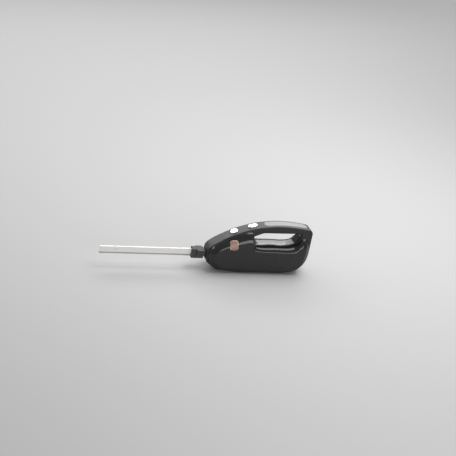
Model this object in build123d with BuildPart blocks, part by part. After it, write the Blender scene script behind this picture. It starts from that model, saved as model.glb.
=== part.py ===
"""Electric carving knife with a looped handle, two saw blades and a worm drive.

The blades point along -X, the base is the plane Z = 0, and the origin is the
middle of the flat base. The near, left-hand side of the housing faces -Y.
"""

from build123d import *
from math import cos, hypot, pi, radians, sin
import os

os.makedirs("parts", exist_ok=True)

# Housing, all lengths in millimetres
body_length = 229.0
body_height = 108.0
body_width = 60.0
nose_reach = 116.0
spine_width = 31.0
spine_edge_radius = 2.0
tail_corner_radius = 11.0
shell_wall = 2.5
side_wall = 4.5
hollow_corner_radius = 3.0
floor_width = 14.0
keel_radius = 16.0
gap_edge_radius = 5.0
gap_corner_radius = 5.0

# Top band, inlay, badge and buttons
band_width = 28.8
band_thickness = 3.0
band_edge_radius = 0.9
inlay_length = 98.0
inlay_width = 19.0
inlay_thickness = 1.4
inlay_proud = 0.5
badge_width = 18.0
badge_height = 22.0
badge_corner_radius = 6.0
badge_proud = 0.6
badge_sink = 1.0
badge_tilt = 22.0
release_diameter = 17.0
power_length = 21.5
power_width = 13.0
button_proud = 2.6
button_flange = 1.5
button_flange_thickness = 1.4
button_gap = 0.3
press_travel = 3.0
button_wall = 1.6

# Blades, hubs and the mouth in the nose
blade_line = 34.0
blade_length = 198.0
blade_height = 16.8
blade_thickness = 1.3
blade_split = 0.3
blade_tip_radius = 2.2
bevel_width = 0.75
bevel_height = 4.2
tooth_pitch = 3.3
tooth_radius = 2.3
tooth_depth = 0.75
plain_tip = 12.0
rivet_from_tip = 36.0
rivet_rise = 3.0
rivet_radius = 1.5
rivet_head_radius = 2.6
rivet_head_thickness = 0.6
hub_length = 26.0
hub_height = 21.4
hub_width = 16.0
hub_from_nose = 5.0
hub_edge_radius = 1.6
grip_length = 15.0
grip_height = 15.0
grip_depth = 4.2
grip_rib_height = 1.0
grip_rise = 2.5
grip_draft = 4.0
neck_height = 12.0
neck_width = 13.6
tang_height = 8.0
tang_length = 24.0
mouth_width = 21.0
mouth_height = 17.0
mouth_corner_radius = 3.0
bezel_wall = 1.5
bezel_length = 10.0

# Drive
stroke = 3.5
gear_module = 1.0
wheel_teeth = 28
wheel_thickness = 6.0
wheel_from_nose = 59.0
wheel_rise = 7.0
worm_pitch_radius = 4.0
worm_length = 18.0
cam_radius = 6.5
cam_thickness = 3.6
axle_radius = 2.0
running_gap = 0.05
shaft_chamfer = 0.4
slide_gap = 0.3
part_gap = 0.4
carriage_length = 25.0
carriage_height = 16.0
carriage_width = 6.7
yoke_thickness = 3.0
yoke_border = 3.2
case_wall = 2.0
guide_wall = 2.0
latch_thickness = 0.6
latch_width = 4.6
fork_thickness = 2.4
latch_hook_length = 2.2
latch_hook_depth = 5.0
notch_gap = 0.2
latch_share = 0.5
wheel_tip_share = 0.35
wheel_root_share = 0.62
worm_tip_share = 0.28
worm_root_share = 0.50
tooth_height_share = 0.85
thread_turns = 4

# Motor
shaft_radius = 3.0
core_radius = 11.5
air_gap = 0.5
stator_length = 30.0
stator_side = 35.0
coil_overhang = 6.0
commutator_radius = 8.5
commutator_length = 12.0
bearing_radius = 9.5
bearing_width = 6.0
bracket_thickness = 4.0
fan_radius = 15.5
fan_length = 8.0
brush_side = 5.0
brush_length = 6.0
brush_spring_length = 5.0
brush_spring_radius = 1.7
brush_spring_turns = 3
holder_wall = 1.0
fan_blades = 9
fan_blade_turn = 25.0
coil_depth = 3.6
coil_width = 16.0
armature_slots = 12
slot_reach_share = 0.78
slot_radius = 1.5
winding_draft = 12.0

# Fixings, cord entry and wiring
boss_radius = 3.6
screw_radius = 1.5
screw_head_radius = 2.9
screw_head_height = 1.8
screw_length = 18.0
slot_width = 0.5
slot_depth = 0.6
lead_radius = 3.6
gland_radius = 6.5
gland_flange_radius = 8.5
gland_groove_width = 5.4
gland_flange_thickness = 2.4
cord_line = 48.0
wire_radius = 1.0
channel_radius = 3.2
rib_thickness = 2.0
switch_length = 12.8
switch_width = 6.0
switch_depth = 6.5
spring_wire = 0.35
wire_sides = 6
spring_turns = 5
terminal_length = 14.0
terminal_width = 12.0
terminal_height = 9.0
clamp_width = 6.0
overrun = 20.0


def place(shares):
    """A point of the side view from shares of the body's length and height."""
    return (shares[0] * body_length - nose_reach, shares[1] * body_height)


# Side view of the handle loop, as shares of the body's length and height
crown_shares = (0.690, 1.0)
shoulder_shares = (0.105, 0.630)
brow_shares = (0.026, 0.509)
nose_top_shares = (0.0, 0.389)
nose_low_shares = (0.0, 0.241)
chin_shares = (0.026, 0.142)
throat_shares = (0.079, 0.065)
base_front_shares = (0.223, 0.0)
base_rear_shares = (0.799, 0.0)
tail_low_shares = (0.998, 0.481)
tail_top_shares = (1.0, 0.926)

# Finger gap through the loop, then the rim of the motor pod, clockwise from the nose
gap_front_low_shares = (0.415, 0.49)
gap_front_top_shares = (0.415, 0.667)
gap_brow_shares = (0.459, 0.778)
gap_roof_shares = (0.546, 0.833)
gap_rear_top_shares = (0.904, 0.843)
gap_rear_low_shares = (0.803, 0.49)
pod_rim_shares = [
    (0.0066, 0.315), (0.0197, 0.463), (0.0655, 0.569), (0.144, 0.669), (0.253, 0.787),
    (0.354, 0.867), (0.411, 0.861), (0.421, 0.741), (0.437, 0.630), (0.493, 0.590),
    (0.646, 0.588), (0.790, 0.590), (0.847, 0.630), (0.891, 0.732), (0.935, 0.769),
    (0.976, 0.685), (0.987, 0.482), (0.956, 0.287), (0.887, 0.102), (0.799, 0.005),
    (0.668, -0.028), (0.450, -0.032), (0.275, -0.028), (0.162, 0.019), (0.079, 0.079),
    (0.026, 0.176),
]
middle_hollow_shares = [
    (0.040, 0.19), (0.040, 0.425), (0.083, 0.518), (0.162, 0.625), (0.275, 0.74), (0.380, 0.79),
    (0.397, 0.70), (0.402, 0.58), (0.440, 0.542), (0.820, 0.542), (0.870, 0.585), (0.930, 0.620),
    (0.955, 0.480), (0.930, 0.296), (0.865, 0.111), (0.799, 0.037), (0.140, 0.045), (0.075, 0.11),
]
side_hollow_shares = [
    (0.076, 0.25), (0.076, 0.42), (0.120, 0.514), (0.870, 0.514), (0.920, 0.43), (0.915, 0.28),
    (0.850, 0.12), (0.780, 0.045), (0.180, 0.045), (0.110, 0.13),
]
keel_front_shares = (0.179, 0.315)
keel_rear_shares = (0.843, 0.269)
ear_share = 0.25
side_steps = 5

# Places along the top arc, from the crown to the shoulder, and of the fixings
release_share = 0.742
power_share = 0.449
badge_shares = (0.227, 0.620)
screw_shares = [(0.085, 0.135), (0.335, 0.735), (0.800, 0.530), (0.850, 0.185), (0.967, 0.800)]
band_foot_share = 0.13
brow_turn = 25.0

nose_x = -nose_reach
tail_x = body_length - nose_reach
side_y = body_width / 2

crown = place(crown_shares)
shoulder = place(shoulder_shares)
tail_top = place(tail_top_shares)
tail_low = place(tail_low_shares)
nose_top = place(nose_top_shares)
nose_low = place(nose_low_shares)
base_front = place(base_front_shares)
base_rear = place(base_rear_shares)

front_arc = TangentArc(crown, shoulder, tangent=(-1, 0))


def top_plane(share):
    """The plane that touches the top of the housing at a share of its front arc."""
    spot = front_arc @ share
    slope = front_arc % share
    return Plane(
        origin=(spot.X, 0, spot.Y),
        x_dir=(-slope.X, 0, -slope.Y),
        z_dir=(slope.Y, 0, -slope.X),
    )


def draw_side(inset):
    """The closed side view of the loop, drawn in by an inset along its normals."""
    slope = front_arc % 1
    inward = Vector(-slope.Y, slope.X) * inset
    low_shoulder = Vector(*shoulder) + inward
    brow = Vector(*place(brow_shares)) + inward.rotate(Axis.Z, brow_turn)
    low_crown = (crown[0], crown[1] - inset)
    top_end = (tail_top[0] - inset, tail_top[1] - inset)
    low_end = (tail_low[0] - inset, tail_low[1])
    rear = (base_rear[0], base_rear[1] + inset)
    front = (base_front[0], base_front[1] + inset)
    nose_high = (nose_top[0] + inset, nose_top[1])
    nose_base = (nose_low[0] + inset, nose_low[1])
    chin = Vector(*place(chin_shares)) + Vector(inset, inset) * cos(radians(45))
    throat = Vector(*place(throat_shares)) + Vector(inset, inset) * cos(radians(45))
    TangentArc(low_crown, low_shoulder, tangent=(-1, 0))
    TangentArc(low_crown, top_end, tangent=(1, 0))
    Spline(low_shoulder, brow, nose_high, tangents=[slope, (0, -1)])
    Line(nose_high, nose_base)
    Spline(nose_base, chin, throat, front, tangents=[(0, -1), (1, 0)])
    Line(front, rear)
    Spline(rear, low_end, tangents=[(1, 0), (0, 1)])
    Line(low_end, top_end)


def helix_on(plane, pitch, height, radius):
    """A right-hand helix that stands on a plane and starts on its x direction."""
    return plane.location * Edge.make_helix(pitch, height, radius)


def moved_in(points, distance):
    """The points of a closed clockwise outline, each moved in square to its neighbours."""
    moved = []
    for before, point, after in zip(points[-1:] + points[:-1], points, points[1:] + points[:1]):
        run = (after[0] - before[0], after[1] - before[1])
        span = hypot(run[0], run[1])
        moved.append((point[0] + run[1] / span * distance, point[1] - run[0] / span * distance))
    return moved


def pulled_to_keel(points, radius):
    """The outline of the pod's side face: each point drawn in towards the keel line."""
    front = place(keel_front_shares)
    rear = place(keel_rear_shares)
    run = (rear[0] - front[0], rear[1] - front[1])
    pulled = []
    for x, z in points:
        share = ((x - front[0]) * run[0] + (z - front[1]) * run[1]) / (run[0] ** 2 + run[1] ** 2)
        share = min(max(share, 0), 1)
        foot = (front[0] + share * run[0], front[1] + share * run[1])
        reach = hypot(x - foot[0], z - foot[1])
        kept = (radius + (reach - radius) * ear_share) / reach
        pulled.append((foot[0] + (x - foot[0]) * kept, foot[1] + (z - foot[1]) * kept))
    return pulled


def pod_sections(rim, side, half_width):
    """Faces across the near half of the pod, from the flat middle to the flat side."""
    lengths = [0.0]
    for start, end in zip(rim, rim[1:] + rim[:1]):
        lengths.append(lengths[-1] + hypot(end[0] - start[0], end[1] - start[1]))
    steps = [length / lengths[-1] for length in lengths]
    flat = floor_width / 2
    stations = [(0, 0), (flat, 0)]
    for step in range(1, side_steps + 1):
        angle = radians(90 * step / side_steps)
        stations.append((flat + (half_width - flat) * sin(angle), 1 - cos(angle)))
    faces = []
    for across, drawn in stations:
        points = [
            (a[0] + (b[0] - a[0]) * drawn, -across, a[1] + (b[1] - a[1]) * drawn)
            for a, b in zip(rim, side)
        ]
        edge = Edge.make_spline(points, periodic=True, parameters=steps)
        faces.append(Face(Wire([edge])))
    return faces


pod_rim = [place(shares) for shares in pod_rim_shares]
pod_faces = pod_sections(pod_rim, pulled_to_keel(pod_rim, keel_radius), side_y)

# Outside form: handle loop and motor pod
with BuildPart() as loop:
    with BuildSketch(Plane.XZ) as loop_side:
        with BuildLine():
            draw_side(0)
        make_face()
        fillet(loop_side.vertices().sort_by(Axis.X)[-1], tail_corner_radius)
    extrude(amount=spine_width / 2, both=True)
    sides = loop.faces().filter_by(Axis.Y)
    fillet(sides.edges(), spine_edge_radius)
    with BuildSketch(Plane.XZ) as gap_side:
        with BuildLine():
            Line(place(gap_front_low_shares), place(gap_front_top_shares))
            Spline(
                place(gap_front_top_shares),
                place(gap_brow_shares),
                place(gap_roof_shares),
                tangents=[(0, 1), (1, 0)],
            )
            Line(place(gap_roof_shares), place(gap_rear_top_shares))
            Line(place(gap_rear_top_shares), place(gap_rear_low_shares))
            Line(place(gap_rear_low_shares), place(gap_front_low_shares))
        make_face()
        fillet(gap_side.vertices().sort_by(Axis.X)[-1], gap_corner_radius)
    extrude(amount=spine_width, both=True, mode=Mode.SUBTRACT)
    gap_box = gap_side.sketch.bounding_box()
    round_gap = [
        edge
        for edge in loop.faces().filter_by(Axis.Y).edges()
        if edge.bounding_box().min.X > gap_box.min.X - button_gap
        and edge.bounding_box().max.X < gap_box.max.X + button_gap
        and edge.bounding_box().max.Z < gap_box.max.Z + button_gap
    ]
    fillet(round_gap, gap_edge_radius)

with BuildPart() as outside:
    loft(sections=pod_faces)
    mirror(about=Plane.XZ)
    add(loop.part)
    split(bisect_by=Plane.XY, keep=Keep.TOP)

# Lines that the drive is laid out from
wheel_x = nose_x + wheel_from_nose
wheel_z = blade_line + wheel_rise
wheel_pitch_radius = gear_module * wheel_teeth / 2
motor_z = wheel_z - wheel_pitch_radius - worm_pitch_radius
blade_inner = blade_split / 2
blade_outer = blade_inner + blade_thickness
hub_rear_x = nose_x - hub_from_nose
hub_front_x = hub_rear_x - hub_length
tip_x = hub_front_x - blade_length
carriage_front_x = nose_x + 2 * stroke
carriage_inner = slide_gap
carriage_outer = carriage_inner + carriage_width
guide_half = carriage_outer + slide_gap
guide_top = blade_line + carriage_height / 2 + latch_thickness + slide_gap
guide_bottom = blade_line - carriage_height / 2 - slide_gap
guide_front_x = carriage_front_x + stroke + part_gap
guide_length = carriage_length - 2 * stroke
yoke_inner = wheel_thickness / 2 + part_gap
window_half_length = 2 * stroke + cam_radius + part_gap
window_half_height = stroke + cam_radius + part_gap
yoke_half_length = window_half_length + yoke_border
yoke_half_height = window_half_height + yoke_border
case_half_length = yoke_half_length + stroke + part_gap
case_front_x = wheel_x - case_half_length - case_wall
case_rear_x = wheel_x + case_half_length + case_wall
case_bottom = motor_z - worm_pitch_radius - gear_module - case_wall - part_gap
case_top = wheel_z + wheel_pitch_radius + gear_module + part_gap
front_bracket_x = case_rear_x + part_gap
fan_x = front_bracket_x + bearing_width
coil_x = fan_x + fan_length + part_gap
stator_x = coil_x + coil_overhang
coil_end_x = stator_x + stator_length + coil_overhang
commutator_x = coil_end_x + part_gap
rear_bracket_x = commutator_x + commutator_length + part_gap
shaft_end_x = rear_bracket_x + bearing_width + part_gap
shelf_top = cord_line - lead_radius - part_gap

# Hollow of the motor pod, with its ribs, bosses and shelf left standing
case_middle_z = (case_bottom + case_top + case_wall) / 2
fork_passage = 2 * (carriage_outer + part_gap)
rib_places = [
    (guide_front_x + guide_length / 2, (guide_bottom + guide_top) / 2),
    (wheel_x - case_half_length / 2, case_middle_z),
    (wheel_x + case_half_length / 2, case_middle_z),
    (front_bracket_x + bracket_thickness / 2, motor_z),
    (stator_x + stator_length / 2, motor_z),
    (rear_bracket_x + bracket_thickness / 2, motor_z),
]
rib_windows = [
    (2 * (guide_half + guide_wall), guide_top - guide_bottom + 2 * guide_wall),
    (2 * (guide_half + case_wall), case_top - case_bottom + case_wall),
    (2 * (guide_half + case_wall), case_top - case_bottom + case_wall),
    (stator_side, stator_side),
    (stator_side, stator_side),
    (stator_side, stator_side),
]
screw_places = [place(shares) for shares in screw_shares]
release_plane = top_plane(release_share)
power_plane = top_plane(power_share)
flange_top = band_thickness + button_gap
well_depth = flange_top + button_flange_thickness + press_travel + button_gap
well_radius = release_diameter / 2 + button_flange + button_gap
power_well_length = power_length + 2 * (button_flange + button_gap)
power_well_width = power_width + 2 * (button_flange + button_gap)

with BuildPart() as hollow:
    with BuildSketch(Plane.XZ) as middle_hollow:
        with BuildLine():
            FilletPolyline(*[place(shares) for shares in middle_hollow_shares],
                           radius=hollow_corner_radius, close=True)
        make_face()
    extrude(amount=spine_width / 2 - shell_wall, both=True)
    with BuildSketch(Plane.XZ) as side_hollow:
        with BuildLine():
            FilletPolyline(*[place(shares) for shares in side_hollow_shares],
                           radius=hollow_corner_radius, close=True)
        make_face()
    extrude(amount=side_y - side_wall, both=True)
    for (rib_x, rib_z), (window_width, window_height) in zip(rib_places, rib_windows):
        with BuildSketch(Plane.YZ.offset(rib_x - rib_thickness / 2)):
            Rectangle(2 * body_width, 2 * body_height)
            with Locations((0, rib_z)):
                Rectangle(window_width, window_height, mode=Mode.SUBTRACT)
                if rib_x < wheel_x:
                    Rectangle(
                        fork_passage,
                        body_height,
                        align=(Align.CENTER, Align.MIN),
                        mode=Mode.SUBTRACT,
                    )
        extrude(amount=rib_thickness, mode=Mode.SUBTRACT)
    with BuildSketch(Plane.XZ) as boss_rings:
        with Locations(*screw_places):
            Circle(boss_radius)
    extrude(amount=body_width, both=True, mode=Mode.SUBTRACT)
    with BuildSketch(Plane.XY.offset(shelf_top)) as shelf:
        with Locations((shaft_end_x + 2 * rib_thickness, 0)):
            Rectangle(overrun * 3, 2 * body_width, align=(Align.MIN, Align.CENTER))
    extrude(amount=-rib_thickness, mode=Mode.SUBTRACT)
    with BuildSketch(release_plane.offset(-band_thickness)) as well_boss:
        Circle(well_radius + shell_wall)
    extrude(amount=-(well_depth - band_thickness + shell_wall), mode=Mode.SUBTRACT)
    with BuildSketch(power_plane.offset(-band_thickness)) as power_boss:
        SlotOverall(power_well_length + 2 * shell_wall, power_well_width + 2 * shell_wall)
    extrude(amount=-(well_depth - band_thickness + switch_depth + shell_wall), mode=Mode.SUBTRACT)

# Band over the nose, the back and the tail, drawn from the loop's own side view
with BuildPart() as band_strip:
    with BuildSketch(Plane.XZ) as band_side:
        with BuildLine():
            draw_side(0)
        make_face()
        fillet(band_side.vertices().sort_by(Axis.X)[-1], tail_corner_radius)
        with BuildSketch(mode=Mode.SUBTRACT) as band_inside:
            with BuildLine():
                draw_side(band_thickness)
            make_face()
            corner = band_inside.vertices().sort_by(Axis.X)[-1]
            fillet(corner, tail_corner_radius - band_thickness)
    extrude(amount=band_width / 2, both=True)
    outer_edges = [
        edge
        for face in band_strip.faces().filter_by(Axis.Y)
        for edge in face.outer_wire().edges()
    ]
    fillet(outer_edges, band_edge_radius)
    split(bisect_by=Plane.XY.offset(band_foot_share * body_height), keep=Keep.TOP)

inlay_middle_x = tail_x - tail_corner_radius - inlay_length / 2
with BuildPart() as handle_inlay:
    with BuildSketch(Plane.XZ) as inlay_side:
        with BuildLine():
            draw_side(-inlay_proud)
        make_face()
        with BuildSketch(mode=Mode.SUBTRACT) as inlay_inside:
            with BuildLine():
                draw_side(inlay_thickness - inlay_proud)
            make_face()
    extrude(amount=inlay_width / 2, both=True)
    with BuildSketch(Plane.XY.offset(body_height / 2)) as inlay_plan:
        with Locations((inlay_middle_x, 0)):
            SlotOverall(inlay_length, inlay_width)
    extrude(amount=body_height, mode=Mode.INTERSECT)
handle_inlay.part.label = "handle_inlay"
export_step(handle_inlay.part, "parts/handle_inlay.step")

# Mouth in the nose, and the sleeve that lines it
mouth_x = nose_x - part_gap
with BuildPart() as mouth_hole:
    with BuildSketch(Plane.YZ.offset(mouth_x)) as mouth_front:
        with Locations((0, blade_line)):
            RectangleRounded(
                mouth_width + 2 * bezel_wall,
                mouth_height + 2 * bezel_wall,
                mouth_corner_radius + bezel_wall,
            )
    extrude(amount=carriage_front_x + carriage_length / 2 - mouth_x)

with BuildPart() as mouth_bezel:
    with BuildSketch(Plane.YZ.offset(nose_x + part_gap)) as bezel_front:
        with Locations((0, blade_line)):
            RectangleRounded(
                mouth_width + 2 * bezel_wall,
                mouth_height + 2 * bezel_wall,
                mouth_corner_radius + bezel_wall,
            )
            RectangleRounded(mouth_width, mouth_height, mouth_corner_radius, mode=Mode.SUBTRACT)
    extrude(amount=bezel_length)
mouth_bezel.part.label = "mouth_bezel"
export_step(mouth_bezel.part, "parts/mouth_bezel.step")

# Wells for the two buttons, pocket for the switch, and the wire's way through the loop
wire_route = [
    place((0.915, 0.50)),
    place((0.930, 0.66)),
    place((0.930, 0.84)),
    place((0.880, 0.925)),
    place((0.690, 0.935)),
    place((0.485, 0.885)),
]
with BuildPart() as channel:
    with BuildLine(Plane.XZ) as channel_path:
        FilletPolyline(*wire_route, radius=2 * channel_radius)
    with BuildSketch(Plane(origin=channel_path.line @ 0, z_dir=channel_path.line % 0)):
        Circle(channel_radius)
    sweep()

with BuildPart() as wells:
    with BuildSketch(release_plane.offset(-well_depth)) as release_well:
        Circle(well_radius)
    extrude(amount=well_depth - band_thickness)
    with BuildSketch(release_plane.offset(-well_depth)):
        Circle(button_wall + button_gap)
    extrude(amount=-2 * shell_wall)
    with BuildSketch(power_plane.offset(-well_depth)) as power_well:
        SlotOverall(power_well_length, power_well_width)
    extrude(amount=well_depth - band_thickness)
    with BuildSketch(power_plane.offset(-well_depth - switch_depth)):
        Rectangle(switch_length, switch_width)
    extrude(amount=switch_depth)
    add(channel.part)

with BuildPart() as button_holes:
    with BuildSketch(release_plane.offset(-band_thickness - button_gap)):
        Circle(release_diameter / 2 + button_gap)
    extrude(amount=2 * band_thickness)
    with BuildSketch(power_plane.offset(-band_thickness - button_gap)):
        SlotOverall(power_length + 2 * button_gap, power_width + 2 * button_gap)
    extrude(amount=2 * band_thickness)

with BuildPart() as spine_band:
    add(band_strip.part)
    add(mouth_hole.part, mode=Mode.SUBTRACT)
    add(button_holes.part, mode=Mode.SUBTRACT)
    add(handle_inlay.part, mode=Mode.SUBTRACT)
    with BuildSketch(Plane.YZ.offset(tail_x)):
        with Locations((0, cord_line)):
            Circle(gland_radius)
    extrude(amount=-2 * band_thickness, mode=Mode.SUBTRACT)
spine_band.part.label = "spine_band"
export_step(spine_band.part, "parts/spine_band.step")

# Badge on the near side, a plain plate that follows the shell and is let into it
badge_x, badge_z = place(badge_shares)
badge_plane = Plane(
    origin=(badge_x, -side_y, badge_z),
    x_dir=(1, 0, 0),
    z_dir=(0, -cos(radians(badge_tilt)), sin(radians(badge_tilt))),
)
proud_rim = moved_in(pod_rim, -badge_proud)
sunk_rim = moved_in(pod_rim, badge_sink)
with BuildPart() as badge_plate:
    loft(
        sections=pod_sections(
            proud_rim,
            pulled_to_keel(proud_rim, keel_radius + badge_proud),
            side_y + badge_proud,
        )
    )
    loft(
        sections=pod_sections(
            sunk_rim,
            pulled_to_keel(sunk_rim, keel_radius - badge_sink),
            side_y - badge_sink,
        ),
        mode=Mode.SUBTRACT,
    )
    with BuildSketch(badge_plane.offset(-overrun / 2)):
        RectangleRounded(badge_width, badge_height, badge_corner_radius)
    extrude(amount=overrun, mode=Mode.INTERSECT)
badge_plate.part.label = "badge_plate"
export_step(badge_plate.part, "parts/badge_plate.step")

# Cord gland in the tail: a flanged rubber bush with a groove for the wall
gland_wall_x = tail_x - gland_groove_width
with BuildPart() as cord_gland:
    with BuildSketch(Plane.XZ) as gland_profile:
        with BuildLine():
            Polyline(
                (gland_wall_x - gland_flange_thickness, cord_line + lead_radius),
                (gland_wall_x - gland_flange_thickness, cord_line + gland_flange_radius),
                (gland_wall_x, cord_line + gland_flange_radius),
                (gland_wall_x, cord_line + gland_radius),
                (tail_x, cord_line + gland_radius),
                (tail_x, cord_line + lead_radius),
                close=True,
            )
        make_face()
    revolve(axis=Axis((0, 0, cord_line), (1, 0, 0)))
cord_gland.part.label = "cord_gland"
export_step(cord_gland.part, "parts/cord_gland.step")

# Blades: straight saw-edged strips that lie face to face, each with a tang
latch_x = carriage_front_x + carriage_length * latch_share
finger_x = latch_x + latch_hook_length
tang_end_x = carriage_front_x + tang_length
rivet_x = tip_x + rivet_from_tip
rivet_z = blade_line + rivet_rise
tooth_count = int((blade_length - 2 * plain_tip) / tooth_pitch)
tooth_z = blade_line - blade_height / 2 - tooth_radius + tooth_depth
tooth_places = [
    (tip_x + plain_tip + tooth_pitch * number, tooth_z) for number in range(tooth_count)
]


def make_blade(side):
    """One blade: side is -1 for the left-hand one and 1 for the right-hand one."""
    edge_z = blade_line - blade_height / 2
    outer_y = side * blade_outer
    with BuildPart() as blade:
        with BuildSketch(Plane.XZ.offset(-side * blade_inner)) as strip:
            with Locations((tip_x, blade_line)):
                Rectangle(
                    blade_length + hub_length / 2,
                    blade_height,
                    align=(Align.MIN, Align.CENTER),
                )
            fillet(strip.vertices().group_by(Axis.X)[0], blade_tip_radius)
            with Locations((hub_front_x, blade_line)):
                Rectangle(tang_end_x - hub_front_x, tang_height, align=(Align.MIN, Align.CENTER))
            with Locations((latch_x, blade_line + tang_height / 2)):
                Rectangle(
                    latch_hook_length + 2 * notch_gap,
                    2 * (latch_hook_depth - carriage_rise + notch_gap),
                    mode=Mode.SUBTRACT,
                )
        extrude(amount=-side * blade_thickness)
        with BuildSketch(Plane.YZ.offset(tip_x)) as ground_edge:
            with BuildLine():
                Polyline(
                    (outer_y, edge_z),
                    (outer_y, edge_z + bevel_height),
                    (outer_y - side * bevel_width, edge_z),
                    close=True,
                )
            make_face()
        extrude(amount=blade_length, mode=Mode.SUBTRACT)
        with BuildSketch(Plane.XZ) as teeth:
            with Locations(*tooth_places):
                Circle(tooth_radius)
        extrude(amount=2 * blade_outer, both=True, mode=Mode.SUBTRACT)
        with BuildSketch(Plane.XZ) as rivet_slot:
            if side > 0:
                with Locations((rivet_x, rivet_z)):
                    SlotCenterToCenter(4 * stroke + part_gap, 2 * (rivet_radius + slide_gap))
                with Locations((rivet_x + 2 * stroke + rivet_head_radius, rivet_z)):
                    Circle(rivet_head_radius + slide_gap)
            else:
                with Locations((rivet_x, rivet_z)):
                    Circle(rivet_radius)
        extrude(amount=2 * blade_outer, both=True, mode=Mode.SUBTRACT)
    return blade


carriage_rise = (carriage_height - tang_height) / 2
blade_left = make_blade(-1)
blade_left.part.label = "blade_left"
export_step(blade_left.part, "parts/blade_left.step")
blade_right = make_blade(1)
blade_right.part.label = "blade_right"
export_step(blade_right.part, "parts/blade_right.step")

# Rivet fixed in the left blade, its far head behind the right blade's keyhole slot
with BuildPart() as tip_rivet:
    with BuildSketch(Plane.XZ.offset(-blade_outer - slide_gap)) as shank:
        with Locations((rivet_x, rivet_z)):
            Circle(rivet_radius)
    extrude(amount=2 * blade_outer + slide_gap)
    with BuildSketch(Plane.XZ.offset(blade_outer)) as near_head:
        with Locations((rivet_x, rivet_z)):
            Circle(rivet_head_radius)
    extrude(amount=rivet_head_thickness)
    with BuildSketch(Plane.XZ.offset(-blade_outer - slide_gap)) as far_head:
        with Locations((rivet_x, rivet_z)):
            Circle(rivet_head_radius)
    extrude(amount=-rivet_head_thickness)
    round_edges = tip_rivet.faces().filter_by(Axis.Y)
    fillet(
        [round_edges.sort_by(Axis.Y)[0].edges(), round_edges.sort_by(Axis.Y)[-1].edges()],
        rivet_head_thickness / 2,
    )
tip_rivet.part.label = "tip_rivet"
export_step(tip_rivet.part, "parts/tip_rivet.step")


def make_hub(side, blade):
    """One half hub with its thumb grip and neck, moulded round the blade."""
    with BuildPart() as hub:
        with BuildSketch(Plane.XZ.offset(-side * blade_inner)) as block:
            with Locations((hub_front_x, blade_line)):
                Rectangle(hub_length, hub_height, align=(Align.MIN, Align.CENTER))
        extrude(amount=-side * (hub_width / 2 - blade_inner))
        outer_face = hub.faces().sort_by(Axis.Y)[-1 if side > 0 else 0]
        fillet(outer_face.edges(), hub_edge_radius)
        with BuildSketch(Plane.XZ.offset(-side * hub_width / 2)) as grip:
            with Locations((hub_rear_x - grip_length / 2 - grip_rib_height, blade_line + grip_rise)):
                RectangleRounded(grip_length, grip_height, hub_edge_radius)
        extrude(amount=-side * grip_depth, taper=grip_draft)
        with BuildSketch(Plane.XZ.offset(-side * (hub_width / 2 + grip_depth))) as ribs:
            with Locations((hub_rear_x - grip_length / 2 - grip_rib_height, blade_line + grip_rise)):
                with GridLocations(grip_length / 5, 0, 3, 1):
                    Rectangle(grip_rib_height, grip_height - 4 * grip_rib_height)
        extrude(amount=side * grip_rib_height, mode=Mode.SUBTRACT)
        with BuildSketch(Plane.XZ.offset(-side * blade_inner)) as neck:
            with Locations((hub_rear_x - hub_edge_radius, blade_line)):
                Rectangle(
                    carriage_front_x - hub_rear_x + hub_edge_radius,
                    neck_height,
                    align=(Align.MIN, Align.CENTER),
                )
        extrude(amount=-side * (neck_width / 2 - blade_inner))
        add(blade.part, mode=Mode.SUBTRACT)
    return hub


hub_left = make_hub(-1, blade_left)
hub_left.part.label = "hub_left"
export_step(hub_left.part, "parts/hub_left.step")
hub_right = make_hub(1, blade_right)
hub_right.part.label = "hub_right"
export_step(hub_right.part, "parts/hub_right.step")


def make_carriage(side):
    """One driven slide: socket for the tang in front, yoke for the cam behind."""
    bar_rear_x = wheel_x - yoke_half_length
    block_rear_x = carriage_front_x + carriage_length
    with BuildPart() as carriage:
        with BuildSketch(Plane.XZ.offset(-side * carriage_inner)) as block:
            with Locations((carriage_front_x, blade_line)):
                Rectangle(carriage_length, carriage_height, align=(Align.MIN, Align.CENTER))
        extrude(amount=-side * carriage_width)
        with BuildSketch(Plane.XZ.offset(-side * carriage_inner)) as socket:
            with Locations((carriage_front_x, blade_line)):
                Rectangle(
                    tang_length + slide_gap,
                    tang_height + 2 * slide_gap,
                    align=(Align.MIN, Align.CENTER),
                )
            with Locations((latch_x, blade_line)):
                Rectangle(
                    latch_hook_length + 2 * notch_gap,
                    carriage_height,
                    align=(Align.CENTER, Align.MIN),
                )
        extrude(amount=-side * (blade_outer - carriage_inner + slide_gap), mode=Mode.SUBTRACT)
        with BuildSketch(Plane.XZ.offset(-side * yoke_inner)) as bar:
            with Locations((block_rear_x - yoke_thickness, blade_line)):
                Rectangle(
                    bar_rear_x - block_rear_x + 2 * yoke_thickness,
                    tang_height,
                    align=(Align.MIN, Align.CENTER),
                )
            with Locations((wheel_x, wheel_z)):
                Rectangle(2 * yoke_half_length, 2 * yoke_half_height)
                Rectangle(2 * window_half_length, 2 * window_half_height, mode=Mode.SUBTRACT)
            fillet(bar.vertices().group_by(Axis.X)[-1], hub_edge_radius)
        extrude(amount=-side * yoke_thickness)
    return carriage


carriage_left = make_carriage(-1)
carriage_left.part.label = "carriage_left"
export_step(carriage_left.part, "parts/carriage_left.step")
carriage_right = make_carriage(1)
carriage_right.part.label = "carriage_right"
export_step(carriage_right.part, "parts/carriage_right.step")


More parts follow.
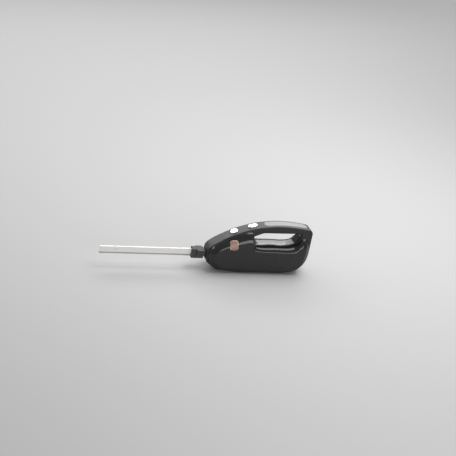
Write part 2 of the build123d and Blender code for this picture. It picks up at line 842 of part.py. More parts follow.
def make_latch(side):
    """Leaf spring on top of a carriage whose hook drops into the tang's notch."""
    top = blade_line + carriage_height / 2
    with BuildPart() as latch:
        with BuildSketch(Plane.XZ.offset(-side * (blade_inner + notch_gap))) as hook:
            with Locations((latch_x, top + latch_thickness)):
                Rectangle(
                    latch_hook_length,
                    latch_hook_depth + latch_thickness,
                    align=(Align.CENTER, Align.MAX),
                )
        extrude(amount=-side * blade_thickness)
        with BuildSketch(Plane.XY.offset(top)) as leaf:
            with Locations(
                (latch_x + carriage_length / 6, side * (blade_inner + notch_gap + latch_width / 2))
            ):
                RectangleRounded(carriage_length / 2, latch_width, latch_hook_length / 2)
        extrude(amount=latch_thickness)
    return latch


latch_left = make_latch(-1)
latch_left.part.label = "latch_spring_left"
export_step(latch_left.part, "parts/latch_spring_left.step")
latch_right = make_latch(1)
latch_right.part.label = "latch_spring_right"
export_step(latch_right.part, "parts/latch_spring_right.step")

# Guide block: a square tube that the two carriages run in
with BuildPart() as guide_block:
    with BuildSketch(Plane.YZ.offset(guide_front_x)) as guide_front:
        with Locations((0, (guide_bottom + guide_top) / 2)):
            Rectangle(2 * (guide_half + guide_wall), guide_top - guide_bottom + 2 * guide_wall)
            Rectangle(2 * guide_half, guide_top - guide_bottom, mode=Mode.SUBTRACT)
    extrude(amount=guide_length)
    with BuildSketch(Plane.XY.offset(guide_top)) as fork_window:
        with Locations((finger_x, 0)):
            Rectangle(guide_length / 2, 2 * guide_half)
    extrude(amount=2 * guide_wall, mode=Mode.SUBTRACT)
guide_block.part.label = "guide_block"
export_step(guide_block.part, "parts/guide_block.step")

# Gear case: a tub round the wheel and worm, open in front for the carriages
case_length = case_rear_x - case_front_x
with BuildPart() as gear_case:
    with BuildSketch(Plane.XZ) as case_side:
        with Locations((wheel_x, (case_bottom + case_top) / 2)):
            Rectangle(case_length, case_top - case_bottom)
    extrude(amount=guide_half + case_wall, both=True)
    with BuildSketch(Plane.XZ) as case_inside:
        with Locations((wheel_x, case_top)):
            Rectangle(
                case_length - 2 * case_wall,
                case_top - case_bottom - case_wall,
                align=(Align.CENTER, Align.MAX),
            )
    extrude(amount=guide_half, both=True, mode=Mode.SUBTRACT)
    with BuildSketch(Plane.YZ.offset(case_front_x)) as carriage_window:
        with Locations((0, blade_line)):
            Rectangle(2 * guide_half, tang_height + 4 * slide_gap)
    extrude(amount=case_wall, mode=Mode.SUBTRACT)
    with BuildSketch(Plane.XZ) as axle_bores:
        with Locations((wheel_x, wheel_z)):
            Circle(axle_radius)
    extrude(amount=body_width, both=True, mode=Mode.SUBTRACT)
    with BuildSketch(Plane.YZ.offset(wheel_x)) as shaft_bore:
        with Locations((0, motor_z)):
            Circle(shaft_radius + part_gap)
    extrude(amount=case_length, mode=Mode.SUBTRACT)
gear_case.part.label = "gear_case"
export_step(gear_case.part, "parts/gear_case.step")

with BuildPart() as gear_cover:
    with BuildSketch(Plane.XY.offset(case_top)) as cover_plan:
        with Locations((wheel_x, 0)):
            Rectangle(case_length, 2 * (guide_half + case_wall))
    extrude(amount=case_wall)
    with BuildSketch(Plane.XY.offset(case_top)) as cover_lip:
        with Locations((wheel_x, 0)):
            Rectangle(case_length - 2 * case_wall - slide_gap, 2 * guide_half - slide_gap)
            Rectangle(
                case_length - 4 * case_wall - slide_gap,
                2 * guide_half - 2 * case_wall - slide_gap,
                mode=Mode.SUBTRACT,
            )
    extrude(amount=-part_gap)
gear_cover.part.label = "gear_case_cover"
export_step(gear_cover.part, "parts/gear_case_cover.step")

with BuildPart() as wheel_axle:
    with BuildSketch(Plane.XZ) as axle_end:
        with Locations((wheel_x, wheel_z)):
            Circle(axle_radius)
    extrude(amount=guide_half + case_wall, both=True)
wheel_axle.part.label = "wheel_axle"
export_step(wheel_axle.part, "parts/wheel_axle.step")

# Worm wheel: straight teeth set out round the rim, with a gap over the worm at rest
tooth_tip_half = gear_module * wheel_tip_share
tooth_root_half = gear_module * wheel_root_share
wheel_tip_radius = wheel_pitch_radius + gear_module * tooth_height_share
wheel_root_radius = wheel_pitch_radius - gear_module * tooth_height_share
with BuildSketch() as wheel_tooth:
    with BuildLine():
        Polyline(
            (wheel_root_radius - gear_module / 2, tooth_root_half),
            (wheel_tip_radius, tooth_tip_half),
            (wheel_tip_radius, -tooth_tip_half),
            (wheel_root_radius - gear_module / 2, -tooth_root_half),
            close=True,
        )
    make_face()

with BuildPart() as worm_wheel:
    with BuildSketch(Plane.XZ) as wheel_side:
        with Locations((wheel_x, wheel_z)):
            Circle(wheel_root_radius)
            with PolarLocations(0, wheel_teeth, start_angle=-90 + 180 / wheel_teeth):
                add(wheel_tooth.sketch)
    extrude(amount=wheel_thickness / 2, both=True)
    with BuildSketch(Plane.XZ) as wheel_bore:
        with Locations((wheel_x, wheel_z)):
            Circle(axle_radius + running_gap)
    extrude(amount=body_width, both=True, mode=Mode.SUBTRACT)
worm_wheel.part.label = "worm_wheel"
export_step(worm_wheel.part, "parts/worm_wheel.step")

# Two cams half a turn apart, one on each face of the wheel
with BuildPart() as cams:
    for side in (-1, 1):
        with BuildSketch(Plane.XZ.offset(-side * wheel_thickness / 2)) as cam_side:
            with Locations((wheel_x, wheel_z - side * stroke)):
                Circle(cam_radius)
            with Locations((wheel_x, wheel_z)):
                Circle(axle_radius + running_gap, mode=Mode.SUBTRACT)
        extrude(amount=-side * cam_thickness)
cams.part.label = "drive_cams"
export_step(cams.part, "parts/drive_cams.step")

# Motor shaft with its worm, in line under the wheel
worm_tip_radius = worm_pitch_radius + gear_module * tooth_height_share
worm_root_radius = worm_pitch_radius - gear_module * tooth_height_share
worm_pitch = gear_module * pi
shaft_start_x = case_front_x + case_wall + part_gap
with BuildPart() as motor_shaft:
    with BuildSketch(Plane.YZ.offset(shaft_start_x)) as shaft_end:
        with Locations((0, motor_z)):
            Circle(shaft_radius)
    extrude(amount=shaft_end_x - shaft_start_x)
    chamfer(motor_shaft.edges().filter_by(GeomType.CIRCLE), shaft_chamfer)
motor_shaft.part.label = "motor_shaft"
export_step(motor_shaft.part, "parts/motor_shaft.step")

worm_start = wheel_x - worm_length / 2
thread_length = worm_pitch * thread_turns
worm_plane = Plane(origin=(worm_start, 0, motor_z), x_dir=(0, 0, 1), z_dir=(1, 0, 0))
thread_plane = worm_plane.offset((worm_length - thread_length) / 2)
thread_path = helix_on(thread_plane, worm_pitch, thread_length, worm_root_radius - running_gap)
with BuildPart() as worm:
    with BuildSketch(worm_plane):
        Circle(worm_root_radius)
    extrude(amount=worm_length)
    with BuildSketch(
        Plane(origin=thread_path @ 0, x_dir=(0, 0, 1), z_dir=thread_path % 0)
    ) as thread_profile:
        with BuildLine():
            Polyline(
                (0, -gear_module * worm_root_share),
                (worm_tip_radius - worm_root_radius + running_gap, -gear_module * worm_tip_share),
                (worm_tip_radius - worm_root_radius + running_gap, gear_module * worm_tip_share),
                (0, gear_module * worm_root_share),
                close=True,
            )
        make_face()
    sweep(path=thread_path, is_frenet=True)
    with BuildSketch(worm_plane):
        Circle(shaft_radius)
    extrude(amount=worm_length, mode=Mode.SUBTRACT)
worm.part.label = "worm"
export_step(worm.part, "parts/worm.step")


def make_bearing(start, name):
    """A plain bearing for the motor shaft, with its oil groove cut in both faces."""
    with BuildPart() as bearing:
        with BuildSketch(Plane.YZ.offset(start)):
            with Locations((0, motor_z)):
                Circle(bearing_radius)
                Circle(shaft_radius + running_gap, mode=Mode.SUBTRACT)
        extrude(amount=bearing_width)
        for face_x, way in ((start, 1), (start + bearing_width, -1)):
            with BuildSketch(Plane.YZ.offset(face_x)):
                with Locations((0, motor_z)):
                    Circle(bearing_radius - 2 * holder_wall)
                    Circle(shaft_radius + 2 * holder_wall, mode=Mode.SUBTRACT)
            extrude(amount=way * holder_wall, mode=Mode.SUBTRACT)
    bearing.part.label = name
    return bearing


# Bearings and the two brackets that hold them
front_bearing = make_bearing(front_bracket_x, "front_bearing")
export_step(front_bearing.part, "parts/front_bearing.step")
rear_bearing = make_bearing(rear_bracket_x, "rear_bearing")
export_step(rear_bearing.part, "parts/rear_bearing.step")


def make_bracket(start, name):
    """A square motor bracket with a raised seat round its bearing."""
    with BuildPart() as bracket:
        with BuildSketch(Plane.YZ.offset(start)):
            with Locations((0, motor_z)):
                RectangleRounded(stator_side, stator_side, bracket_thickness)
        extrude(amount=bracket_thickness)
        with BuildSketch(Plane.YZ.offset(start)):
            with Locations((0, motor_z)):
                Circle(bearing_radius + holder_wall)
        extrude(amount=bearing_width)
        with BuildSketch(Plane.YZ.offset(start)):
            with Locations((0, motor_z)):
                Circle(bearing_radius)
                with PolarLocations(bearing_radius + bracket_thickness, 4, start_angle=0):
                    Circle(bracket_thickness / 2)
        extrude(amount=bearing_width, mode=Mode.SUBTRACT)
    bracket.part.label = name
    return bracket


front_bracket = make_bracket(front_bracket_x, "front_bracket")
export_step(front_bracket.part, "parts/front_bracket.step")
rear_bracket = make_bracket(rear_bracket_x, "rear_bracket")
export_step(rear_bracket.part, "parts/rear_bracket.step")

# Fan: a hub and a back plate with straight blades
fan_start_x = fan_x + part_gap
with BuildPart() as cooling_fan:
    with BuildSketch(Plane.YZ.offset(fan_start_x)):
        with Locations((0, motor_z)):
            Circle(fan_radius)
            Circle(shaft_radius, mode=Mode.SUBTRACT)
    extrude(amount=holder_wall)
    with BuildSketch(Plane.YZ.offset(fan_start_x)):
        with Locations((0, motor_z)):
            Circle(2 * shaft_radius)
            with PolarLocations((fan_radius + 2 * shaft_radius) / 2, fan_blades):
                Rectangle(fan_radius - 2 * shaft_radius, holder_wall, rotation=fan_blade_turn)
            Circle(shaft_radius, mode=Mode.SUBTRACT)
    extrude(amount=fan_length - part_gap)
cooling_fan.part.label = "cooling_fan"
export_step(cooling_fan.part, "parts/cooling_fan.step")

# Stator: a square stack with a round bore and two wide slots for the field coils
with BuildPart() as stator_core:
    with BuildSketch(Plane.YZ.offset(stator_x)) as lamination:
        with Locations((0, motor_z)):
            RectangleRounded(stator_side, stator_side, bracket_thickness)
            Circle(core_radius + air_gap, mode=Mode.SUBTRACT)
            with PolarLocations(0, 2, start_angle=0):
                Rectangle(
                    2 * (core_radius + coil_depth),
                    coil_width,
                    mode=Mode.SUBTRACT,
                )
    extrude(amount=stator_length)
stator_core.part.label = "stator_core"
export_step(stator_core.part, "parts/stator_core.step")

# Field coils: one winding on each side of the armature, longer than the core at both ends
with BuildPart() as field_coils:
    for turn in (-1, 1):
        with BuildSketch(Plane.YZ.offset(coil_x)) as coil_end:
            with Locations((turn * (core_radius + air_gap + coil_depth / 2), motor_z)):
                Rectangle(coil_depth - 2 * air_gap, coil_width - 2 * air_gap)
        extrude(amount=coil_end_x - coil_x)
field_coils.part.label = "field_coils"
export_step(field_coils.part, "parts/field_coils.step")

# Armature: slotted core, windings that fill the slots and bulge at both ends
with BuildPart() as armature_core:
    with BuildSketch(Plane.YZ.offset(stator_x)) as armature_side:
        with Locations((0, motor_z)):
            Circle(core_radius)
            Circle(shaft_radius, mode=Mode.SUBTRACT)
            with PolarLocations(slot_reach_share * core_radius, armature_slots):
                Circle(slot_radius, mode=Mode.SUBTRACT)
            with PolarLocations(core_radius, armature_slots):
                Rectangle(2 * slot_radius, slot_radius, mode=Mode.SUBTRACT)
    extrude(amount=stator_length)
armature_core.part.label = "armature_core"
export_step(armature_core.part, "parts/armature_core.step")

winding_radius = slot_reach_share * core_radius + slot_radius
with BuildPart() as armature_windings:
    with BuildSketch(Plane.YZ.offset(stator_x)) as winding_slots:
        with Locations((0, motor_z)):
            with PolarLocations(slot_reach_share * core_radius, armature_slots):
                Circle(slot_radius - running_gap)
    extrude(amount=stator_length)
    for start, way in ((stator_x, -1), (stator_x + stator_length, 1)):
        with BuildSketch(Plane.YZ.offset(start)) as winding_end:
            with Locations((0, motor_z)):
                Circle(winding_radius)
                Circle(shaft_radius, mode=Mode.SUBTRACT)
        extrude(amount=way * (coil_overhang - air_gap), taper=winding_draft)
armature_windings.part.label = "armature_windings"
export_step(armature_windings.part, "parts/armature_windings.step")

with BuildPart() as commutator:
    with BuildSketch(Plane.YZ.offset(commutator_x)) as bars:
        with Locations((0, motor_z)):
            Circle(commutator_radius)
            Circle(shaft_radius, mode=Mode.SUBTRACT)
            with PolarLocations(commutator_radius, armature_slots * 2):
                Rectangle(holder_wall, air_gap, mode=Mode.SUBTRACT)
    extrude(amount=commutator_length)
commutator.part.label = "commutator"
export_step(commutator.part, "parts/commutator.step")

# Brush gear on both sides of the commutator
brush_x = commutator_x + commutator_length / 2
brush_inner = commutator_radius + running_gap
with BuildPart() as carbon_brushes:
    for side in (-1, 1):
        with BuildSketch(Plane.XZ.offset(-side * brush_inner)):
            with Locations((brush_x, motor_z)):
                Rectangle(brush_side, brush_side)
        extrude(amount=-side * brush_length)
carbon_brushes.part.label = "carbon_brushes"
export_step(carbon_brushes.part, "parts/carbon_brushes.step")

holder_side = brush_side + 2 * holder_wall + 2 * running_gap
brush_outer = brush_inner + brush_length
holder_outer = brush_outer + brush_spring_length
with BuildPart() as brush_holders:
    for side in (-1, 1):
        with BuildSketch(Plane.XZ.offset(-side * (brush_inner + holder_wall))):
            with Locations((brush_x - holder_side / 2, motor_z)):
                Rectangle(
                    rear_bracket_x - brush_x + holder_side / 2,
                    holder_side,
                    align=(Align.MIN, Align.CENTER),
                )
            with Locations((brush_x, motor_z)):
                Rectangle(
                    brush_side + 2 * running_gap,
                    brush_side + 2 * running_gap,
                    mode=Mode.SUBTRACT,
                )
        extrude(amount=-side * (holder_outer - brush_inner - holder_wall))
        with BuildSketch(Plane.XZ.offset(-side * holder_outer)):
            with Locations((brush_x, motor_z)):
                Rectangle(holder_side, holder_side)
        extrude(amount=-side * holder_wall)
brush_holders.part.label = "brush_holders"
export_step(brush_holders.part, "parts/brush_holders.step")


def make_spring(plane, radius, length, turns, wire, name):
    """A round compression spring that stands on a plane."""
    coil = helix_on(plane.offset(wire), (length - 2 * wire) / turns, length - 2 * wire, radius)
    with BuildPart() as spring:
        with BuildSketch(Plane(origin=coil @ 0, z_dir=coil % 0)):
            RegularPolygon(wire, wire_sides)
        sweep(path=coil, is_frenet=True)
    spring.part.label = name
    return spring


# Brush springs between the outer end of each brush and the closed end of its holder
with BuildPart() as brush_springs:
    for side in (-1, 1):
        spring_seat = Plane(
            origin=(brush_x, side * brush_outer, motor_z),
            x_dir=(1, 0, 0),
            z_dir=(0, side, 0),
        )
        add(
            make_spring(
                spring_seat, brush_spring_radius, brush_spring_length,
                brush_spring_turns, spring_wire, "brush_spring",
            ).part
        )
brush_springs.part.label = "brush_springs"
export_step(brush_springs.part, "parts/brush_springs.step")


def top_face(piece, plane):
    """The face of a piece that stands highest over a plane."""
    return piece.faces().sort_by(lambda face: plane.to_local_coords(face.center()).Z)[-1]


# Buttons: a round cap for the blade release and an oval one for the power
cap_ceiling = button_proud - button_wall
with BuildPart() as release_button:
    with BuildSketch(release_plane.offset(-flange_top)):
        Circle(release_diameter / 2)
    extrude(amount=flange_top + button_proud)
    fillet(top_face(release_button, release_plane).edges(), button_wall)
    with BuildSketch(release_plane.offset(-flange_top - button_flange_thickness)):
        Circle(release_diameter / 2 + button_flange)
    extrude(amount=button_flange_thickness)
    with BuildSketch(release_plane.offset(-flange_top - button_flange_thickness)):
        Circle(release_diameter / 2 - button_wall)
    extrude(
        amount=flange_top + button_flange_thickness + cap_ceiling,
        mode=Mode.SUBTRACT,
    )
    with BuildSketch(release_plane.offset(cap_ceiling)):
        Circle(button_wall)
    extrude(amount=-(cap_ceiling + well_depth + shell_wall + part_gap))
release_button.part.label = "release_button"
export_step(release_button.part, "parts/release_button.step")

with BuildPart() as power_button:
    with BuildSketch(power_plane.offset(-flange_top)):
        SlotOverall(power_length, power_width)
    extrude(amount=flange_top + button_proud)
    fillet(top_face(power_button, power_plane).edges(), button_wall)
    with BuildSketch(power_plane.offset(-flange_top - button_flange_thickness)):
        SlotOverall(power_length + 2 * button_flange, power_width + 2 * button_flange)
    extrude(amount=button_flange_thickness)
    with BuildSketch(power_plane.offset(-flange_top - button_flange_thickness)):
        SlotOverall(power_length - 2 * button_wall, power_width - 2 * button_wall)
    extrude(
        amount=flange_top + button_flange_thickness + cap_ceiling,
        mode=Mode.SUBTRACT,
    )
    with BuildSketch(power_plane.offset(cap_ceiling)):
        Circle(button_wall)
    extrude(amount=-(cap_ceiling + well_depth - press_travel - part_gap))
power_button.part.label = "power_button"
export_step(power_button.part, "parts/power_button.step")

spring_radius = button_wall + spring_wire + button_gap
release_spring = make_spring(
    release_plane.offset(-well_depth), spring_radius, well_depth + cap_ceiling,
    spring_turns, spring_wire, "release_spring",
)
export_step(release_spring.part, "parts/release_spring.step")
power_spring = make_spring(
    power_plane.offset(-well_depth), spring_radius, well_depth + cap_ceiling,
    spring_turns, spring_wire, "power_spring",
)
export_step(power_spring.part, "parts/power_spring.step")

with BuildPart() as switch_body:
    with BuildSketch(power_plane.offset(-well_depth)):
        Rectangle(switch_length - running_gap, switch_width - running_gap)
    extrude(amount=-(switch_depth - running_gap))
switch_body.part.label = "switch_body"
export_step(switch_body.part, "parts/switch_body.step")

# Release fork: a bent plate under the button whose two fingers stand over the latches
fork_plane = release_plane.offset(-well_depth - shell_wall - part_gap - fork_thickness / 2)
fork_rear = fork_plane.from_local_coords((2 * button_wall, 0, 0))
fork_front = fork_plane.from_local_coords((-2 * button_wall, 0, 0))
finger_z = guide_top + press_travel + slide_gap
knee_z = case_top + case_wall + press_travel + part_gap + fork_thickness / 2
with BuildPart() as release_fork:
    with BuildSketch(Plane.XZ) as fork_side:
        with BuildLine() as fork_line:
            Polyline(
                (fork_rear.X, fork_rear.Z),
                (fork_front.X, fork_front.Z),
                (case_front_x - press_travel, knee_z),
                (finger_x, (finger_z + knee_z) / 2),
                (finger_x, finger_z),
            )
        trace(line_width=fork_thickness)
    extrude(amount=carriage_outer, both=True)
    with BuildSketch(Plane.XY) as fork_slot:
        with Locations((finger_x, 0)):
            Rectangle(2 * carriage_outer, carriage_outer)
    extrude(amount=body_height, mode=Mode.SUBTRACT)
release_fork.part.label = "release_fork"
export_step(release_fork.part, "parts/release_fork.step")

# Terminal block and cord clamp on the shelf behind the motor
terminal_x = shaft_end_x + 4 * rib_thickness
with BuildPart() as terminal_block:
    with BuildSketch(Plane.XY.offset(shelf_top)) as terminal_plan:
        with Locations((terminal_x, 0)):
            RectangleRounded(
                terminal_length,
                terminal_width,
                holder_wall,
                align=(Align.MIN, Align.CENTER),
            )
    extrude(amount=terminal_height)
    with BuildSketch(Plane.XY.offset(shelf_top + terminal_height)):
        with Locations((terminal_x + terminal_length / 2, 0)):
            with GridLocations(terminal_length / 2, terminal_width / 2, 2, 2):
                Circle(screw_radius)
    extrude(amount=-terminal_height / 2, mode=Mode.SUBTRACT)
terminal_block.part.label = "terminal_block"
export_step(terminal_block.part, "parts/terminal_block.step")

with BuildPart() as terminal_screws:
    with BuildSketch(Plane.XY.offset(shelf_top + terminal_height / 2)):
        with Locations((terminal_x + terminal_length / 2, 0)):
            with GridLocations(terminal_length / 2, terminal_width / 2, 2, 2):
                Circle(screw_radius - running_gap)
    extrude(amount=terminal_height / 2 - slot_depth)
    with BuildSketch(Plane.XY.offset(shelf_top + terminal_height - slot_depth)):
        with Locations((terminal_x + terminal_length / 2, 0)):
            with GridLocations(terminal_length / 2, terminal_width / 2, 2, 2):
                Rectangle(2 * screw_radius, slot_width)
    extrude(amount=-slot_depth, mode=Mode.SUBTRACT)
terminal_screws.part.label = "terminal_screws"
export_step(terminal_screws.part, "parts/terminal_screws.step")

clamp_x = terminal_x + terminal_length + 2 * lead_radius
clamp_height = 2 * lead_radius + 2 * holder_wall
clamp_screw_spread = 2 * (lead_radius + screw_radius + holder_wall)
clamp_screw_bite = 2 * rib_thickness
with BuildPart() as cord_clamp:
    with BuildSketch(Plane.YZ.offset(clamp_x)) as clamp_side:
        with Locations((0, shelf_top)):
            Rectangle(
                clamp_screw_spread + 2 * screw_head_radius,
                clamp_height,
                align=(Align.CENTER, Align.MIN),
            )
        with Locations((0, cord_line)):
            Circle(lead_radius, mode=Mode.SUBTRACT)
    extrude(amount=clamp_width)
    with BuildSketch(Plane.XY.offset(shelf_top)):
        with Locations((clamp_x + clamp_width / 2, 0)):
            with GridLocations(0, clamp_screw_spread, 1, 2):
                Circle(screw_radius)
    extrude(amount=body_height, mode=Mode.SUBTRACT)
cord_clamp.part.label = "cord_clamp"
export_step(cord_clamp.part, "parts/cord_clamp.step")

with BuildPart() as clamp_screws:
    with BuildSketch(Plane.XY.offset(shelf_top - clamp_screw_bite)):
        with Locations((clamp_x + clamp_width / 2, 0)):
            with GridLocations(0, clamp_screw_spread, 1, 2):
                Circle(screw_radius)
    extrude(amount=clamp_screw_bite + clamp_height)
    with BuildSketch(Plane.XY.offset(shelf_top + clamp_height)):
        with Locations((clamp_x + clamp_width / 2, 0)):
            with GridLocations(0, clamp_screw_spread, 1, 2):
                Circle(screw_head_radius)
    extrude(amount=screw_head_height)
clamp_screws.part.label = "clamp_screws"
export_step(clamp_screws.part, "parts/clamp_screws.step")

# Two wires from the terminal block up the tail and along the handle to the switch
with BuildPart() as lead_wires:
    for side in (-1, 1):
        with BuildLine(Plane.XZ.offset(-side * (wire_radius + running_gap))) as wire_path:
            FilletPolyline(*wire_route, radius=2 * channel_radius)
        with BuildSketch(Plane(origin=wire_path.line @ 0, z_dir=wire_path.line % 0)):
            Circle(wire_radius)
        sweep()
lead_wires.part.label = "lead_wires"
export_step(lead_wires.part, "parts/lead_wires.step")

# Shells: the outside form less its hollow, halved on the middle plane
with BuildPart() as shell:
    add(outside.part)
    add(hollow.part, mode=Mode.SUBTRACT)
    add(band_strip.part, mode=Mode.SUBTRACT)
    add(mouth_hole.part, mode=Mode.SUBTRACT)
    add(wells.part, mode=Mode.SUBTRACT)
    add(badge_plate.part, mode=Mode.SUBTRACT)
    add(clamp_screws.part, mode=Mode.SUBTRACT)
    with BuildSketch(Plane.YZ.offset(gland_wall_x)):
        with Locations((0, cord_line)):
            Circle(gland_flange_radius + running_gap)
    extrude(amount=-2 * gland_flange_thickness, mode=Mode.SUBTRACT)
    with BuildSketch(Plane.YZ.offset(gland_wall_x)):
        with Locations((0, cord_line)):
            Circle(gland_radius)
    extrude(amount=2 * gland_groove_width, mode=Mode.SUBTRACT)

with BuildPart() as housing_left:
    add(shell.part)
    split(bisect_by=Plane.XZ, keep=Keep.TOP)
    with BuildSketch(Plane.XZ) as pilot_holes:
        with Locations(*screw_places):
            Circle(screw_radius)
    extrude(amount=screw_length / 2, mode=Mode.SUBTRACT)
housing_left.part.label = "housing_left"
export_step(housing_left.part, "parts/housing_left.step")

with BuildPart() as housing_right:
    add(shell.part)
    split(bisect_by=Plane.XZ, keep=Keep.BOTTOM)
    with BuildSketch(Plane.XZ) as screw_holes:
        with Locations(*screw_places):
            Circle(screw_radius)
    extrude(amount=-screw_length / 2, mode=Mode.SUBTRACT)
    with BuildSketch(Plane.XZ.offset(-screw_length / 2)) as head_holes:
        with Locations(*screw_places):
            Circle(screw_head_radius + running_gap)
    extrude(amount=-body_width, mode=Mode.SUBTRACT)
housing_right.part.label = "housing_right"
export_step(housing_right.part, "parts/housing_right.step")

with BuildPart() as housing_screws:
    with BuildSketch(Plane.XZ.offset(screw_length / 2)) as shanks:
        with Locations(*screw_places):
            Circle(screw_radius)
    extrude(amount=-screw_length)
    with BuildSketch(Plane.XZ.offset(-screw_length / 2)) as heads:
        with Locations(*screw_places):
            Circle(screw_head_radius)
    extrude(amount=-screw_head_height)
housing_screws.part.label = "housing_screws"
export_step(housing_screws.part, "parts/housing_screws.step")
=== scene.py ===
"""Finishes and studio for an electric carving knife, laid out as a Blender add-on."""

import math

import bmesh
import bpy
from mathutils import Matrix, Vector
from mathutils.bvhtree import BVHTree


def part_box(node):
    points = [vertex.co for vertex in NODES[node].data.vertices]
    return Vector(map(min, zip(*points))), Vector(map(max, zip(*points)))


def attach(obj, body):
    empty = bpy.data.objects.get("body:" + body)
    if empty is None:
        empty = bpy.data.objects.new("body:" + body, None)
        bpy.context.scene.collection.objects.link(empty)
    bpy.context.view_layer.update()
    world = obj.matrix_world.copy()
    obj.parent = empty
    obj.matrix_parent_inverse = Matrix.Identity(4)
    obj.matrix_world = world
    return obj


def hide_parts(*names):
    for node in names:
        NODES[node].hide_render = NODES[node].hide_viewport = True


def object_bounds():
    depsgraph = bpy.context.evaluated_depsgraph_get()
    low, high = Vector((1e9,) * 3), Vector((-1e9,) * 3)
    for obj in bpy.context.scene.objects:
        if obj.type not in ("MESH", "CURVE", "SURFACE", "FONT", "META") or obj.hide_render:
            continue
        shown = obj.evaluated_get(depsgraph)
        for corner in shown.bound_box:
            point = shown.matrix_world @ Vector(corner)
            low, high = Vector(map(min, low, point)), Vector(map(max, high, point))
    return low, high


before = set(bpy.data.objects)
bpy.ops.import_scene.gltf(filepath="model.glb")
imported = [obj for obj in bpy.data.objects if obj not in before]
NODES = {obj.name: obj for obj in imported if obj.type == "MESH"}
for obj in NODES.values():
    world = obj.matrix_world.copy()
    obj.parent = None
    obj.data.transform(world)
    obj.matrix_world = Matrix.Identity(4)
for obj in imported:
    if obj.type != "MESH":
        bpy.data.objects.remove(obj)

bl_info = {
    "name": "Carving Knife Finish",
    "version": (1, 0, 0),
    "blender": (4, 5, 0),
    "location": "3D View > Sidebar > Carving Knife",
    "description": "Finishes the shells, blades, drive and motor of a carving knife and lights it",
    "category": "Object",
}

FRAME_BOX = [list(corner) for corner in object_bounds()]
MM = 0.001

# Middle value of a noise texture, taken off before it is scaled
NOISE_MIDDLE = 0.5
DUST_COLOUR = (0.42, 0.40, 0.38)
SEAM_COLOUR = (0.002, 0.002, 0.002)
# How far worn plastic and worn metal go towards white
WORN_PLASTIC_SHARE = 0.22
WORN_METAL_SHARE = 0.5
# Brightness of a scratch's floor against the metal's own colour
SCRATCH_SHARE = 0.62


class ShellSettings(bpy.types.PropertyGroup):
    """Finish of the moulded shells, the band and the hubs."""

    shell_colour: bpy.props.FloatVectorProperty(
        name="Shell colour", description="Gloss plastic of both shells",
        subtype="COLOR", size=3, min=0, max=1, default=(0.014, 0.014, 0.015))
    shell_roughness: bpy.props.FloatProperty(
        name="Shell roughness", description="Roughness of the gloss plastic",
        subtype="FACTOR", min=0, max=1, default=0.13)
    band_colour: bpy.props.FloatVectorProperty(
        name="Band colour", description="Satin plastic of the band over the back",
        subtype="COLOR", size=3, min=0, max=1, default=(0.036, 0.036, 0.037))
    band_roughness: bpy.props.FloatProperty(
        name="Band roughness", description="Roughness of the satin plastic",
        subtype="FACTOR", min=0, max=1, default=0.42)
    hub_colour: bpy.props.FloatVectorProperty(
        name="Hub colour", description="Spark-grained plastic of the blade hubs",
        subtype="COLOR", size=3, min=0, max=1, default=(0.044, 0.044, 0.045))
    seam_width: bpy.props.FloatProperty(
        name="Seam width", description="Width of the parting line between the two shells",
        unit="LENGTH", min=0, max=1 * MM, default=0.3 * MM)


class MetalSettings(bpy.types.PropertyGroup):
    """Colours of the bright parts."""

    blade_colour: bpy.props.FloatVectorProperty(
        name="Blade colour", description="Ground stainless steel",
        subtype="COLOR", size=3, min=0, max=1, default=(0.92, 0.91, 0.90))
    cap_colour: bpy.props.FloatVectorProperty(
        name="Cap colour", description="Chrome of the two buttons",
        subtype="COLOR", size=3, min=0, max=1, default=(0.90, 0.90, 0.90))
    # Painted reflection: the strip's pale colour stands in for the softbox's reflection along the
    # handle's glossy top
    strip_reflection_colour: bpy.props.FloatVectorProperty(
        name="Inlay colour", description="Satin silver of the strip on the handle",
        subtype="COLOR", size=3, min=0, max=1, default=(0.31, 0.30, 0.30))
    badge_colour: bpy.props.FloatVectorProperty(
        name="Badge colour", description="Rose metal of the badge's field",
        subtype="COLOR", size=3, min=0, max=1, default=(0.385, 0.25, 0.205))
    badge_rim_colour: bpy.props.FloatVectorProperty(
        name="Badge rim colour", description="Paler rose of the badge's rim",
        subtype="COLOR", size=3, min=0, max=1, default=(0.78, 0.60, 0.56))
    badge_rim_width: bpy.props.FloatProperty(
        name="Badge rim width", description="Width of the raised rim round the badge",
        unit="LENGTH", min=0.2 * MM, max=3 * MM, default=1.1 * MM)
    badge_rim_rise: bpy.props.FloatProperty(
        name="Badge rim rise", description="Height of the rim over the badge's field",
        unit="LENGTH", min=0.02 * MM, max=1 * MM, default=0.22 * MM)


class StageSettings(bpy.types.PropertyGroup):
    """Floor, lamps and camera."""

    floor_colour: bpy.props.FloatVectorProperty(
        name="Floor colour", description="Pale studio floor",
        subtype="COLOR", size=3, min=0, max=1, default=(0.52, 0.52, 0.52))
    softbox_power: bpy.props.FloatProperty(
        name="Softbox power", description="Power of the overhead softbox",
        unit="POWER", min=0, max=1000, default=15)
    world_light: bpy.props.FloatProperty(
        name="World light", description="Strength of the even light from all round",
        min=0, max=5, default=0.32)
    camera_azimuth: bpy.props.FloatProperty(
        name="Camera azimuth", description="Bearing of the camera from the near side",
        subtype="ANGLE", default=math.radians(-20))
    camera_elevation: bpy.props.FloatProperty(
        name="Camera elevation", description="Height angle of the camera",
        subtype="ANGLE", default=math.radians(25))
    camera_roll: bpy.props.FloatProperty(
        name="Camera roll", description="Tilt of the picture, clockwise",
        subtype="ANGLE", default=math.radians(10.8))
    camera_distance: bpy.props.FloatProperty(
        name="Camera distance", description="Distance from the camera to the aim",
        unit="LENGTH", min=0.3, max=20, default=2.68)
    camera_lens: bpy.props.FloatProperty(
        name="Camera lens", description="Focal length",
        subtype="DISTANCE_CAMERA", min=10, max=500, default=100)
    camera_aim: bpy.props.FloatVectorProperty(
        name="Camera aim", description="Point that the middle of the picture shows",
        unit="LENGTH", size=3, default=(-0.0734, 0.0052, 0.0909))


